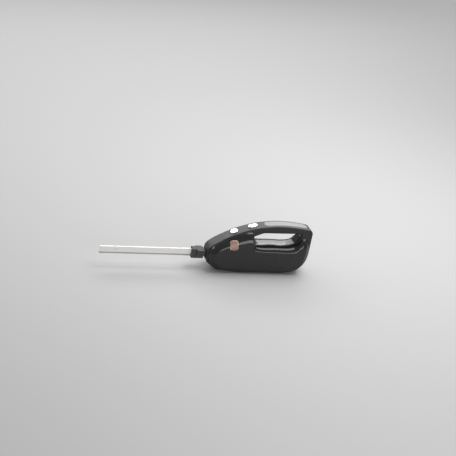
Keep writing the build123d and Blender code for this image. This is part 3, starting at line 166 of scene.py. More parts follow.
def add_node(tree, kind, **properties):
    """Adds a shader node and sets the given properties on it."""
    node = tree.nodes.new(kind)
    for name, value in properties.items():
        setattr(node, name, value)
    return node


def math_node(tree, operation, *values):
    """A math node whose inputs are sockets or plain numbers; returns its output."""
    node = add_node(tree, "ShaderNodeMath", operation=operation)
    for place, value in enumerate(values):
        if isinstance(value, bpy.types.NodeSocket):
            tree.links.new(value, node.inputs[place])
        else:
            node.inputs[place].default_value = value
    return node.outputs[0]


def object_place(tree):
    """A point's place in the shared frame, as a socket."""
    return add_node(tree, "ShaderNodeTexCoord").outputs["Object"]


def object_axes(tree):
    """A point's place in the shared frame, split into X, Y and Z sockets."""
    split = add_node(tree, "ShaderNodeSeparateXYZ")
    tree.links.new(object_place(tree), split.inputs[0])
    return split.outputs


def start_group(name, inputs, outputs):
    """A new shader node group with named float or colour sockets; returns it with its ends."""
    group = bpy.data.node_groups.new(name, "ShaderNodeTree")
    for label, kind, value in inputs:
        socket = group.interface.new_socket(label, in_out="INPUT", socket_type=kind)
        if value is not None:
            socket.default_value = value
    for label, kind in outputs:
        group.interface.new_socket(label, in_out="OUTPUT", socket_type=kind)
    return group, group.nodes.new("NodeGroupInput"), group.nodes.new("NodeGroupOutput")


FLOAT = "NodeSocketFloat"
VECTOR = "NodeSocketVector"


def build_edge_wear():
    """Mask of the worn corners, broken up by noise."""
    group, source, result = start_group(
        "edge_wear",
        [("Reach", FLOAT, 0.6 * MM), ("Breakup", FLOAT, 300.0), ("Amount", FLOAT, 0.5)],
        [("Mask", FLOAT)],
    )
    bevel = add_node(group, "ShaderNodeBevel", samples=4)
    group.links.new(source.outputs["Reach"], bevel.inputs["Radius"])
    surface = add_node(group, "ShaderNodeNewGeometry")
    aligned = add_node(group, "ShaderNodeVectorMath", operation="DOT_PRODUCT")
    group.links.new(bevel.outputs["Normal"], aligned.inputs[0])
    group.links.new(surface.outputs["Normal"], aligned.inputs[1])
    turned = math_node(group, "SUBTRACT", 1.0, aligned.outputs["Value"])
    corner = add_node(group, "ShaderNodeMapRange")
    corner.inputs["From Min"].default_value = 0.02
    corner.inputs["From Max"].default_value = 0.16
    group.links.new(turned, corner.inputs["Value"])
    noise = add_node(group, "ShaderNodeTexNoise")
    noise.inputs["Detail"].default_value = 5.0
    group.links.new(object_place(group), noise.inputs["Vector"])
    group.links.new(source.outputs["Breakup"], noise.inputs["Scale"])
    broken = math_node(group, "MULTIPLY", corner.outputs["Result"], noise.outputs["Fac"])
    scaled = math_node(group, "MULTIPLY", broken, source.outputs["Amount"])
    group.links.new(scaled, result.inputs["Mask"])
    return group


def build_grain():
    """Spark-eroded mould grain: a height and a roughness that follows it."""
    group, source, result = start_group(
        "mould_grain",
        [("Grain Size", FLOAT, 0.35 * MM), ("Roughness", FLOAT, 0.4), ("Spread", FLOAT, 0.1)],
        [("Height", FLOAT), ("Roughness", FLOAT)],
    )
    place = object_place(group)
    scale = math_node(group, "DIVIDE", 1.0, source.outputs["Grain Size"])
    fine = add_node(group, "ShaderNodeTexNoise")
    fine.inputs["Detail"].default_value = 3.0
    group.links.new(place, fine.inputs["Vector"])
    group.links.new(scale, fine.inputs["Scale"])
    broad = add_node(group, "ShaderNodeTexNoise")
    broad.inputs["Scale"].default_value = 38.0
    broad.inputs["Detail"].default_value = 4.0
    group.links.new(place, broad.inputs["Vector"])
    centred = math_node(group, "SUBTRACT", broad.outputs["Fac"], NOISE_MIDDLE)
    swing = math_node(group, "MULTIPLY", centred, source.outputs["Spread"])
    rough = math_node(group, "ADD", swing, source.outputs["Roughness"])
    group.links.new(fine.outputs["Fac"], result.inputs["Height"])
    group.links.new(rough, result.inputs["Roughness"])
    return group


def build_brushing():
    """Fine parallel scratches along one axis."""
    group, source, result = start_group(
        "brushed_lines",
        [("Across", VECTOR, (30.0, 2500.0, 2500.0)), ("Roughness", FLOAT, 0.3),
         ("Spread", FLOAT, 0.15)],
        [("Height", FLOAT), ("Roughness", FLOAT), ("Shade", FLOAT)],
    )
    stretch = add_node(group, "ShaderNodeVectorMath", operation="MULTIPLY")
    group.links.new(object_place(group), stretch.inputs[0])
    group.links.new(source.outputs["Across"], stretch.inputs[1])
    lines = add_node(group, "ShaderNodeTexNoise")
    lines.inputs["Scale"].default_value = 1.0
    lines.inputs["Detail"].default_value = 4.0
    lines.inputs["Roughness"].default_value = 0.65
    group.links.new(stretch.outputs[0], lines.inputs["Vector"])
    centred = math_node(group, "SUBTRACT", lines.outputs["Fac"], NOISE_MIDDLE)
    swing = math_node(group, "MULTIPLY", centred, source.outputs["Spread"])
    rough = math_node(group, "ADD", swing, source.outputs["Roughness"])
    group.links.new(lines.outputs["Fac"], result.inputs["Height"])
    group.links.new(rough, result.inputs["Roughness"])
    group.links.new(lines.outputs["Fac"], result.inputs["Shade"])
    return group


def build_dust():
    """Thin film of dust and hand marks, mostly on what faces up."""
    group, source, result = start_group(
        "dust_film",
        [("Amount", FLOAT, 0.05), ("Patch Size", FLOAT, 18.0 * MM)],
        [("Mask", FLOAT)],
    )
    surface = add_node(group, "ShaderNodeNewGeometry")
    split = add_node(group, "ShaderNodeSeparateXYZ")
    group.links.new(surface.outputs["Normal"], split.inputs[0])
    upward = add_node(group, "ShaderNodeMapRange")
    upward.inputs["From Min"].default_value = -0.4
    group.links.new(split.outputs["Z"], upward.inputs["Value"])
    scale = math_node(group, "DIVIDE", 1.0, source.outputs["Patch Size"])
    patches = add_node(group, "ShaderNodeTexNoise")
    patches.inputs["Detail"].default_value = 8.0
    patches.inputs["Roughness"].default_value = 0.7
    group.links.new(object_place(group), patches.inputs["Vector"])
    group.links.new(scale, patches.inputs["Scale"])
    covered = math_node(group, "MULTIPLY", upward.outputs["Result"], patches.outputs["Fac"])
    amount = math_node(group, "MULTIPLY", covered, source.outputs["Amount"])
    group.links.new(amount, result.inputs["Mask"])
    return group


SHARED = {
    "edge_wear": build_edge_wear,
    "mould_grain": build_grain,
    "brushed_lines": build_brushing,
    "dust_film": build_dust,
}


def use_group(tree, name, **values):
    """Places a shared effect in a material with that material's own values."""
    group = bpy.data.node_groups.get(name) or SHARED[name]()
    node = add_node(tree, "ShaderNodeGroup", node_tree=group)
    for label, value in values.items():
        node.inputs[label.replace("_", " ")].default_value = value
    return node


def start_material(name, roughness, metallic=0.0, ior=1.5):
    """A new node material; returns it with its tree and its Principled shader."""
    material = bpy.data.materials.new(name)
    material.use_nodes = True
    tree = material.node_tree
    shader = tree.nodes["Principled BSDF"]
    shader.inputs["Roughness"].default_value = roughness
    shader.inputs["Metallic"].default_value = metallic
    shader.inputs["IOR"].default_value = ior
    return material, tree, shader


# The Mix node's A and B inputs and its result, which share their names among its data types
COLOUR_A, COLOUR_B, COLOUR_RESULT = 6, 7, 2
FLOAT_A, FLOAT_B, FLOAT_RESULT = 2, 3, 0


def blend_colour(tree, mask, first, second):
    """Mixes two colours, each a socket or a plain colour, by a mask."""
    mix = add_node(tree, "ShaderNodeMix", data_type="RGBA")
    tree.links.new(mask, mix.inputs["Factor"])
    for place, value in ((COLOUR_A, first), (COLOUR_B, second)):
        if isinstance(value, bpy.types.NodeSocket):
            tree.links.new(value, mix.inputs[place])
        else:
            mix.inputs[place].default_value = (*value, 1.0)
    return mix.outputs[COLOUR_RESULT]


def blend_float(tree, mask, first, second):
    """Mixes two float sockets by a mask."""
    mix = add_node(tree, "ShaderNodeMix", data_type="FLOAT")
    tree.links.new(mask, mix.inputs["Factor"])
    tree.links.new(first, mix.inputs[FLOAT_A])
    tree.links.new(second, mix.inputs[FLOAT_B])
    return mix.outputs[FLOAT_RESULT]


def add_bump(tree, shader, height, distance, strength=1.0):
    """Feeds a height into the shader's normal."""
    bump = add_node(tree, "ShaderNodeBump")
    bump.inputs["Strength"].default_value = strength
    bump.inputs["Distance"].default_value = distance
    tree.links.new(height, bump.inputs["Height"])
    tree.links.new(bump.outputs["Normal"], shader.inputs["Normal"])


def lighter(colour, share):
    """A colour moved towards white by a share."""
    return tuple(part + (1 - part) * share for part in colour)


def darker(colour, share):
    """A colour at a share of its brightness."""
    return tuple(part * share for part in colour)


def make_plastic(name, colour, roughness, grain_size, grain_depth, dust=0.04, wear=0.35,
                 seam_width=0.0):
    """Moulded plastic with grain, a film of dust, worn corners and an optional parting line."""
    material, tree, shader = start_material(name, roughness)
    grain = use_group(tree, "mould_grain", Grain_Size=grain_size, Roughness=roughness,
                      Spread=roughness / 2)
    film = use_group(tree, "dust_film", Amount=dust)
    worn = use_group(tree, "edge_wear", Amount=wear)
    dusty = blend_colour(tree, film.outputs["Mask"], colour, DUST_COLOUR)
    rubbed = blend_colour(tree, worn.outputs["Mask"], dusty, lighter(colour, WORN_PLASTIC_SHARE))
    if seam_width:
        across = math_node(tree, "ABSOLUTE", object_axes(tree)["Y"])
        line = math_node(tree, "LESS_THAN", across, seam_width / 2)
        rubbed = blend_colour(tree, line, rubbed, SEAM_COLOUR)
    tree.links.new(rubbed, shader.inputs["Base Color"])
    rough = math_node(tree, "ADD", grain.outputs["Roughness"], film.outputs["Mask"])
    tree.links.new(rough, shader.inputs["Roughness"])
    add_bump(tree, shader, grain.outputs["Height"], grain_depth)
    return material


def make_metal(name, colour, roughness, across, spread=0.12, depth=0.004 * MM, wear=0.4,
               shade=0.12, metallic=1.0):
    """Metal with fine parallel lines, a slight change of shade and bright corners."""
    material, tree, shader = start_material(name, roughness, metallic)
    lines = use_group(tree, "brushed_lines", Across=across, Roughness=roughness, Spread=spread)
    worn = use_group(tree, "edge_wear", Amount=wear)
    weak = math_node(tree, "MULTIPLY", lines.outputs["Shade"], shade)
    toned = blend_colour(tree, weak, colour, darker(colour, SCRATCH_SHARE))
    bright = blend_colour(tree, worn.outputs["Mask"], toned, lighter(colour, WORN_METAL_SHARE))
    tree.links.new(bright, shader.inputs["Base Color"])
    tree.links.new(lines.outputs["Roughness"], shader.inputs["Roughness"])
    add_bump(tree, shader, lines.outputs["Height"], depth)
    return material


SCRATCH_DEPTH = 0.006 * MM
FLAT_ROUGHNESS = 0.48
BEVEL_ROUGHNESS = 0.38
FLAT_SHADE = 0.15
# Brightness of the bevel's high and low grind lines against the flat; both sit below the flat as
# painted shade for the dark tooth notches along the saw edge
BEVEL_SHADE_HIGH_SHARE = 0.72
BEVEL_SHADE_LOW_SHARE = 0.42


def make_blade_steel(name, colour, level):
    """Steel ground along the blade, and ground across on the saw bevel below a level, where the
    colour is darkened as painted shade along the teeth.
    """
    material, tree, shader = start_material(name, FLAT_ROUGHNESS, 1.0)
    along = use_group(tree, "brushed_lines", Across=(14.0, 3000.0, 3000.0),
                      Roughness=FLAT_ROUGHNESS, Spread=0.18)
    across = use_group(tree, "brushed_lines", Across=(2600.0, 60.0, 60.0),
                       Roughness=BEVEL_ROUGHNESS, Spread=0.25)
    worn = use_group(tree, "edge_wear", Amount=0.5)
    bevel = math_node(tree, "LESS_THAN", object_axes(tree)["Z"], level)
    weak = math_node(tree, "MULTIPLY", along.outputs["Shade"], FLAT_SHADE)
    flat = blend_colour(tree, weak, colour, darker(colour, SCRATCH_SHARE))
    # The bevel's cross-ground lines, darkened as a whole: painted shade for the dark tooth notches
    ground = blend_colour(tree, across.outputs["Shade"], darker(colour, BEVEL_SHADE_HIGH_SHARE),
                          darker(colour, BEVEL_SHADE_LOW_SHARE))
    toned = blend_colour(tree, bevel, flat, ground)
    bright = blend_colour(tree, worn.outputs["Mask"], toned, lighter(colour, WORN_METAL_SHARE))
    tree.links.new(bright, shader.inputs["Base Color"])
    rough, height = (blend_float(tree, bevel, along.outputs[label], across.outputs[label])
                     for label in ("Roughness", "Height"))
    tree.links.new(rough, shader.inputs["Roughness"])
    add_bump(tree, shader, height, SCRATCH_DEPTH)
    return material


# Share of each sheet's pitch that is steel; the rest is the gap to the next sheet
SHEET_SHARE = 0.82
SHEET_GAP_DEPTH = 0.05 * MM
SHEET_GAP_SHARE = 0.25


def make_stack(name, colour, pitch, roughness=0.45):
    """Stacked steel sheets whose edges show as thin lines along the motor."""
    material, tree, shader = start_material(name, roughness, 1.0)
    sheets = math_node(tree, "DIVIDE", object_axes(tree)["X"], pitch)
    phase = math_node(tree, "FRACT", sheets)
    gap = math_node(tree, "GREATER_THAN", phase, SHEET_SHARE)
    grain = use_group(tree, "mould_grain", Grain_Size=0.8 * MM, Roughness=roughness, Spread=0.2)
    toned = blend_colour(tree, gap, colour, darker(colour, SHEET_GAP_SHARE))
    tree.links.new(toned, shader.inputs["Base Color"])
    tree.links.new(grain.outputs["Roughness"], shader.inputs["Roughness"])
    add_bump(tree, shader, gap, -SHEET_GAP_DEPTH)
    return material


WIRE_ROUGHNESS = 0.32
# Painted shade: the wire's colour drops to this share of its brightness deep in the valleys
# between turns
WIRE_VALLEY_SHADE_SHARE = 0.45
WIRE_VALLEY_DEPTH = 0.25 * MM


def make_winding(name, colour, wire):
    """Enamelled wire laid side by side, with painted shade darkening the valleys between turns."""
    material, tree, shader = start_material(name, WIRE_ROUGHNESS, 0.85)
    axes = object_axes(tree)
    layer = math_node(tree, "ADD", axes["Y"], axes["Z"])
    turns = math_node(tree, "DIVIDE", layer, wire)
    valley = math_node(tree, "PINGPONG", turns, 0.5)
    grain = use_group(tree, "mould_grain", Grain_Size=2 * MM, Roughness=WIRE_ROUGHNESS,
                      Spread=0.2)
    # Painted shade: the colour darkens into the valleys between turns
    toned = blend_colour(tree, valley, colour, darker(colour, WIRE_VALLEY_SHADE_SHARE))
    tree.links.new(toned, shader.inputs["Base Color"])
    tree.links.new(grain.outputs["Roughness"], shader.inputs["Roughness"])
    add_bump(tree, shader, valley, -WIRE_VALLEY_DEPTH)
    return material


def dress(material, *names):
    """Gives CAD nodes a finish through their material slots."""
    for name in names:
        slots = NODES[name].material_slots
        if not slots:
            NODES[name].data.materials.append(material)
        for slot in slots:
            slot.material = material


class KNIFE_OT_shells(bpy.types.Operator):
    """Gives both shells their gloss black plastic with a parting line"""

    bl_idname = "knife.shells"
    bl_label = "Shells"

    def execute(self, context):
        settings = context.scene.knife_shell
        gloss = make_plastic("gloss_black_shell", settings.shell_colour, settings.shell_roughness,
                             grain_size=9 * MM, grain_depth=0.05 * MM, dust=0.012, wear=0.3,
                             seam_width=settings.seam_width)
        dress(gloss, "housing_left", "housing_right")
        return {"FINISHED"}


class KNIFE_OT_band(bpy.types.Operator):
    """Gives the band its satin plastic and the handle strip a pale metal finish that paints in the
    softbox's reflection along the handle's top
    """

    bl_idname = "knife.band"
    bl_label = "Band and strip"

    def execute(self, context):
        shell = context.scene.knife_shell
        metal = context.scene.knife_metal
        satin = make_plastic("satin_black_band", shell.band_colour, shell.band_roughness,
                             grain_size=0.32 * MM, grain_depth=0.008 * MM, dust=0.03, wear=0.45)
        dress(satin, "spine_band")
        # Painted reflection: the strip's pale metal colour stands in for the softbox's reflection
        # along the handle's top
        strip = make_metal("strip_painted_reflection", metal.strip_reflection_colour, roughness=0.50,
                           across=(25.0, 1800.0, 1800.0), metallic=0.6)
        dress(strip, "handle_inlay")
        return {"FINISHED"}


def rounded_outline(width, height, radius, steps):
    """Points of a rectangle with round corners, anticlockwise, in its own plane."""
    points = []
    for corner in range(4):
        across = (width / 2 - radius) * (1 if corner in (0, 3) else -1)
        up = (height / 2 - radius) * (1 if corner in (0, 1) else -1)
        for step in range(steps + 1):
            angle = math.pi / 2 * (corner + step / steps)
            points.append((across + radius * math.cos(angle), up + radius * math.sin(angle)))
    return points


def surface_tree(name):
    """A search tree over a CAD node's faces."""
    mesh = NODES[name].data
    corners = [vertex.co.copy() for vertex in mesh.vertices]
    faces = [tuple(polygon.vertices) for polygon in mesh.polygons]
    return BVHTree.FromPolygons(corners, faces)


def new_piece(name, mesh, material, smooth):
    """Links a finished mesh to the scene as an object with one finish."""
    for polygon in mesh.polygons:
        polygon.use_smooth = smooth
    mesh.materials.append(material)
    piece = bpy.data.objects.new(name, mesh)
    bpy.context.scene.collection.objects.link(piece)
    return piece


class KNIFE_OT_badge(bpy.types.Operator):
    """Finishes the bare badge and lays a raised rim round it"""

    bl_idname = "knife.badge"
    bl_label = "Badge"

    # Lean of the plate's face, back from upright
    TILT = math.radians(22)
    CORNER = 6.0 * MM
    STEPS = 10
    RINGS = 6
    # From the plate's edge to the bead, and how deep the bead's feet sink into the plate
    MARGIN = 0.25 * MM
    SEAT = 0.02 * MM
    # How far off the plate the rays that find its face start
    REACH = 20 * MM

    def rim_mesh(self, width, rise):
        """A half-round bead that follows the badge's outline and its curved face."""
        outward = Vector((0, -math.cos(self.TILT), math.sin(self.TILT)))
        up = Vector((0, math.sin(self.TILT), math.cos(self.TILT)))
        low, high = (Vector(corner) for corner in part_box("badge_plate"))
        corners = [vertex.co for vertex in NODES["badge_plate"].data.vertices]
        rises = [corner.dot(up) for corner in corners]
        across = high.x - low.x
        tall = max(rises) - min(rises)
        middle = up * (max(rises) + min(rises)) / 2
        middle += outward * max(corner.dot(outward) for corner in corners)
        middle.x = (low.x + high.x) / 2
        faces = surface_tree("badge_plate")
        builder = bmesh.new()
        loops = []
        for ring in range(self.RINGS + 1):
            share = ring / self.RINGS
            inset = self.MARGIN + width * share
            height = rise * math.sin(math.pi * share) - self.SEAT
            outline = rounded_outline(across - 2 * inset, tall - 2 * inset,
                                      self.CORNER - inset, self.STEPS)
            loop = []
            for x, z in outline:
                start = middle + Vector((x, 0, 0)) + up * z + outward * self.REACH
                spot, normal = faces.ray_cast(start, -outward)[:2]
                if spot is None:
                    raise RuntimeError("the badge's rim leaves its plate")
                spot = spot + normal * height
                # The bead stays within the knife's own width
                spot.y = max(spot.y, FRAME_BOX[0][1])
                loop.append(builder.verts.new(spot))
            loops.append(loop)
        for outer, inner in zip(loops, loops[1:]):
            count = len(outer)
            for place in range(count):
                after = (place + 1) % count
                builder.faces.new((outer[place], inner[place], inner[after], outer[after]))
        bmesh.ops.recalc_face_normals(builder, faces=builder.faces)
        mesh = bpy.data.meshes.new("badge_rim")
        builder.to_mesh(mesh)
        builder.free()
        return mesh

    def execute(self, context):
        settings = context.scene.knife_metal
        field = make_metal("rose_badge_field", settings.badge_colour, roughness=0.55,
                           across=(900.0, 900.0, 60.0), metallic=0.8, wear=0.2)
        dress(field, "badge_plate")
        pale = make_metal("rose_badge_rim", settings.badge_rim_colour, roughness=0.22,
                          across=(300.0, 300.0, 300.0), metallic=0.9, wear=0.2)
        mesh = self.rim_mesh(settings.badge_rim_width, settings.badge_rim_rise)
        rim = new_piece("badge_rim", mesh, pale, smooth=True)
        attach(rim, "housing")
        return {"FINISHED"}


class KNIFE_OT_caps(bpy.types.Operator):
    """Plates the release and power caps with chrome"""

    bl_idname = "knife.caps"
    bl_label = "Caps"

    def execute(self, context):
        chrome = make_metal("chrome_cap", context.scene.knife_metal.cap_colour, roughness=0.10,
                            across=(60.0, 700.0, 700.0), spread=0.06, depth=0.001 * MM,
                            wear=0.15, shade=0.05)
        dress(chrome, "release_button", "power_button")
        return {"FINISHED"}


class KNIFE_OT_blades(bpy.types.Operator):
    """Grinds both blades along their length and finishes the rivet"""

    bl_idname = "knife.blades"
    bl_label = "Blades"

    # From the lowest tooth tip to the top of the saw bevel, the band whose colour carries painted
    # shade
    BEVEL_HEIGHT = 4.2 * MM

    def execute(self, context):
        colour = context.scene.knife_metal.blade_colour
        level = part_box("blade_left")[0].z + self.BEVEL_HEIGHT
        steel = make_blade_steel("ground_blade_steel", colour, level)
        dress(steel, "blade_left", "blade_right")
        rivet = make_metal("turned_rivet", colour, roughness=0.24, across=(900.0, 900.0, 900.0),
                           wear=0.3)
        dress(rivet, "tip_rivet")
        return {"FINISHED"}


class KNIFE_OT_hubs(bpy.types.Operator):
    """Gives the blade hubs and the mouth sleeve their grained plastic"""

    bl_idname = "knife.hubs"
    bl_label = "Hubs"

    def execute(self, context):
        grained = make_plastic("grained_black_hub", context.scene.knife_shell.hub_colour,
                               roughness=0.5, grain_size=0.55 * MM, grain_depth=0.03 * MM,
                               dust=0.05, wear=0.5)
        dress(grained, "hub_left", "hub_right", "mouth_bezel")
        return {"FINISHED"}


class KNIFE_OT_drive(bpy.types.Operator):
    """Finishes the slides, worm drive, gear case and latches"""

    bl_idname = "knife.drive"
    bl_label = "Drive"

    def execute(self, context):
        nylon = make_plastic("white_nylon", colour=(0.78, 0.77, 0.71), roughness=0.38,
                             grain_size=1.6 * MM, grain_depth=0.02 * MM, dust=0.1, wear=0.2)
        dress(nylon, "carriage_left", "carriage_right", "worm_wheel", "drive_cams",
              "guide_block", "release_fork")
        case = make_plastic("grey_gear_case", colour=(0.16, 0.17, 0.18), roughness=0.45,
                            grain_size=0.7 * MM, grain_depth=0.02 * MM, dust=0.12)
        dress(case, "gear_case", "gear_case_cover", "front_bracket", "rear_bracket")
        turned = make_metal("turned_steel", colour=(0.58, 0.58, 0.59), roughness=0.26,
                            across=(2600.0, 40.0, 40.0))
        dress(turned, "worm", "wheel_axle", "motor_shaft", "clamp_screws")
        spring = make_metal("drawn_spring_steel", colour=(0.45, 0.45, 0.47), roughness=0.3,
                            across=(500.0, 500.0, 500.0))
        dress(spring, "latch_spring_left", "latch_spring_right", "power_spring",
              "release_spring", "brush_springs")
        return {"FINISHED"}


class KNIFE_OT_motor(bpy.types.Operator):
    """Finishes the motor's cores, windings, brush gear, bearings and fan"""

    bl_idname = "knife.motor"
    bl_label = "Motor"

    def execute(self, context):
        sheets = make_stack("stacked_core_sheets", colour=(0.34, 0.34, 0.36), pitch=0.5 * MM)
        dress(sheets, "stator_core", "armature_core")
        wire = make_winding("enamelled_wire", colour=(0.56, 0.22, 0.08), wire=0.5 * MM)
        dress(wire, "field_coils", "armature_windings")
        copper = make_metal("commutator_copper", colour=(0.70, 0.36, 0.20), roughness=0.3,
                            across=(1500.0, 80.0, 80.0))
        dress(copper, "commutator")
        brass = make_metal("stamped_brass", colour=(0.72, 0.54, 0.26), roughness=0.32,
                           across=(300.0, 300.0, 300.0))
        dress(brass, "brush_holders", "terminal_screws")
        carbon = make_plastic("pressed_carbon", colour=(0.03, 0.03, 0.03), roughness=0.6,
                              grain_size=0.4 * MM, grain_depth=0.03 * MM)
        dress(carbon, "carbon_brushes")
        bronze = make_metal("sintered_bronze", colour=(0.42, 0.28, 0.15), roughness=0.5,
                            across=(1200.0, 1200.0, 1200.0), spread=0.3, depth=0.02 * MM)
        dress(bronze, "front_bearing", "rear_bearing")
        moulded = make_plastic("moulded_black", colour=(0.03, 0.03, 0.033), roughness=0.4,
                               grain_size=0.8 * MM, grain_depth=0.02 * MM)
        dress(moulded, "cooling_fan", "switch_body", "terminal_block", "cord_clamp")
        return {"FINISHED"}


class KNIFE_OT_cord_entry(bpy.types.Operator):
    """Finishes the rubber gland and the insulated wires"""

    bl_idname = "knife.cord_entry"
    bl_label = "Cord entry"

    def execute(self, context):
        rubber = make_plastic("gland_rubber", colour=(0.02, 0.02, 0.02), roughness=0.62,
                              grain_size=0.5 * MM, grain_depth=0.04 * MM, dust=0.1)
        dress(rubber, "cord_gland")
        cover = make_plastic("wire_cover", colour=(0.07, 0.10, 0.22), roughness=0.35,
                             grain_size=1.2 * MM, grain_depth=0.01 * MM)
        dress(cover, "lead_wires")
        return {"FINISHED"}


# Corners closer than this are one corner
SAME_PLACE = 0.001 * MM


def piece_middles(name):
    """Middle (x, z), lowest and highest y and radius of each loose part of a CAD node."""
    builder = bmesh.new()
    builder.from_mesh(NODES[name].data)
    bmesh.ops.remove_doubles(builder, verts=builder.verts, dist=SAME_PLACE)
    waiting = set(builder.verts)
    found = []
    while waiting:
        front = [waiting.pop()]
        part = list(front)
        while front:
            corner = front.pop()
            for edge in corner.link_edges:
                other = edge.other_vert(corner)
                if other in waiting:
                    waiting.discard(other)
                    front.append(other)
                    part.append(other)
        spots = [corner.co for corner in part]
        middle = tuple((min(spot[axis] for spot in spots) + max(spot[axis] for spot in spots)) / 2
                       for axis in (0, 2))
        found.append((middle, min(spot.y for spot in spots), max(spot.y for spot in spots),
                      max(spot.x for spot in spots) - middle[0]))
    builder.free()
    return sorted(found)


class KNIFE_OT_screws(bpy.types.Operator):
    """Makes the five case screws with a domed head and a cross recess"""

    bl_idname = "knife.screws"
    bl_label = "Screws"

    SIDES = 40
    # The head's share of the length, the shank's radius against the head's, the point's
    # against the shank's
    HEAD_SHARE = 0.1
    SHANK_SHARE = 0.517
    POINT_SHARE = 0.6
    # The dome: drops from the crown as shares of the head's height, and radii as shares
    EDGE_DROP_SHARE = 0.45
    DOME_DROP_SHARE = 0.17
    DOME_SHARE = 0.93
    CROWN_SHARE = 0.78
    # The cross recess at its mouth, and its floor against the mouth
    CROSS_REACH_SHARE = 0.62
    CROSS_HALF_SHARE = 0.15
    FLOOR_REACH_SHARE = 0.55
    FLOOR_HALF_SHARE = 0.7
    RECESS_SHARE = 0.8

    def ring(self, builder, middle, radius, level):
        """A ring of corners round a screw's axis."""
        corners = []
        for step in range(self.SIDES):
            angle = 2 * math.pi * step / self.SIDES
            corners.append(builder.verts.new((middle[0] + radius * math.cos(angle), level,
                                              middle[1] + radius * math.sin(angle))))
        return corners

    def wall(self, builder, lower, upper):
        """Faces between two rings of the same count."""
        count = len(lower)
        for place in range(count):
            after = (place + 1) % count
            builder.faces.new((lower[place], lower[after], upper[after], upper[place]))

    def cross(self, builder, middle, reach, half, level):
        """The twelve corners of a plus sign."""
        plan = [(reach, -half), (reach, half), (half, half), (half, reach), (-half, reach),
                (-half, half), (-reach, half), (-reach, -half), (-half, -half), (-half, -reach),
                (half, -reach), (half, -half)]
        return [builder.verts.new((middle[0] + x, level, middle[1] + z)) for x, z in plan]

    def screw(self, builder, middle, low, high, radius):
        """One screw: pointed shank, under-face, domed head and tapered cross recess."""
        head_low = high - (high - low) * self.HEAD_SHARE
        head = high - head_low
        shank = radius * self.SHANK_SHARE
        rings = [
            self.ring(builder, middle, shank * self.POINT_SHARE, low),
            self.ring(builder, middle, shank, low + shank),
            self.ring(builder, middle, shank, head_low),
            self.ring(builder, middle, radius, head_low),
            self.ring(builder, middle, radius, high - head * self.EDGE_DROP_SHARE),
            self.ring(builder, middle, radius * self.DOME_SHARE,
                      high - head * self.DOME_DROP_SHARE),
            self.ring(builder, middle, radius * self.CROWN_SHARE, high),
        ]
        for lower, upper in zip(rings, rings[1:]):
            self.wall(builder, lower, upper)
        builder.faces.new(rings[0])
        top = rings[-1]
        reach = radius * self.CROSS_REACH_SHARE
        half = radius * self.CROSS_HALF_SHARE
        mouth = self.cross(builder, middle, reach, half, high)
        edges = [builder.edges.get((first, second)) for first, second
                 in zip(top, top[1:] + top[:1])]
        edges += [builder.edges.new((first, second)) for first, second
                  in zip(mouth, mouth[1:] + mouth[:1])]
        bmesh.ops.triangle_fill(builder, use_beauty=True, edges=edges)
        floor = self.cross(builder, middle, reach * self.FLOOR_REACH_SHARE,
                           half * self.FLOOR_HALF_SHARE, high - head * self.RECESS_SHARE)
        self.wall(builder, mouth, floor)
        builder.faces.new(floor)

    def execute(self, context):
        steel = make_metal("zinc_plated_steel", colour=(0.50, 0.50, 0.52), roughness=0.32,
                           across=(700.0, 700.0, 700.0))
        builder = bmesh.new()
        for middle, low, high, radius in piece_middles("housing_screws"):
            self.screw(builder, middle, low, high, radius)
        bmesh.ops.recalc_face_normals(builder, faces=builder.faces)
        mesh = bpy.data.meshes.new("case_screws")
        builder.to_mesh(mesh)
        builder.free()
        screws = new_piece("case_screws", mesh, steel, smooth=False)
        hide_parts("housing_screws")
        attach(screws, "housing")
        return {"FINISHED"}


def area_lamp(name, place, aim, size, power):
    """A rectangular white softbox that faces a point."""
    data = bpy.data.lights.new(name, "AREA")
    data.shape = "RECTANGLE"
    data.size, data.size_y = size
    data.energy = power
    lamp = bpy.data.objects.new(name, data)
    lamp.location = place
    lamp.rotation_euler = (Vector(aim) - Vector(place)).to_track_quat("-Z", "Y").to_euler()
    bpy.context.scene.collection.objects.link(lamp)


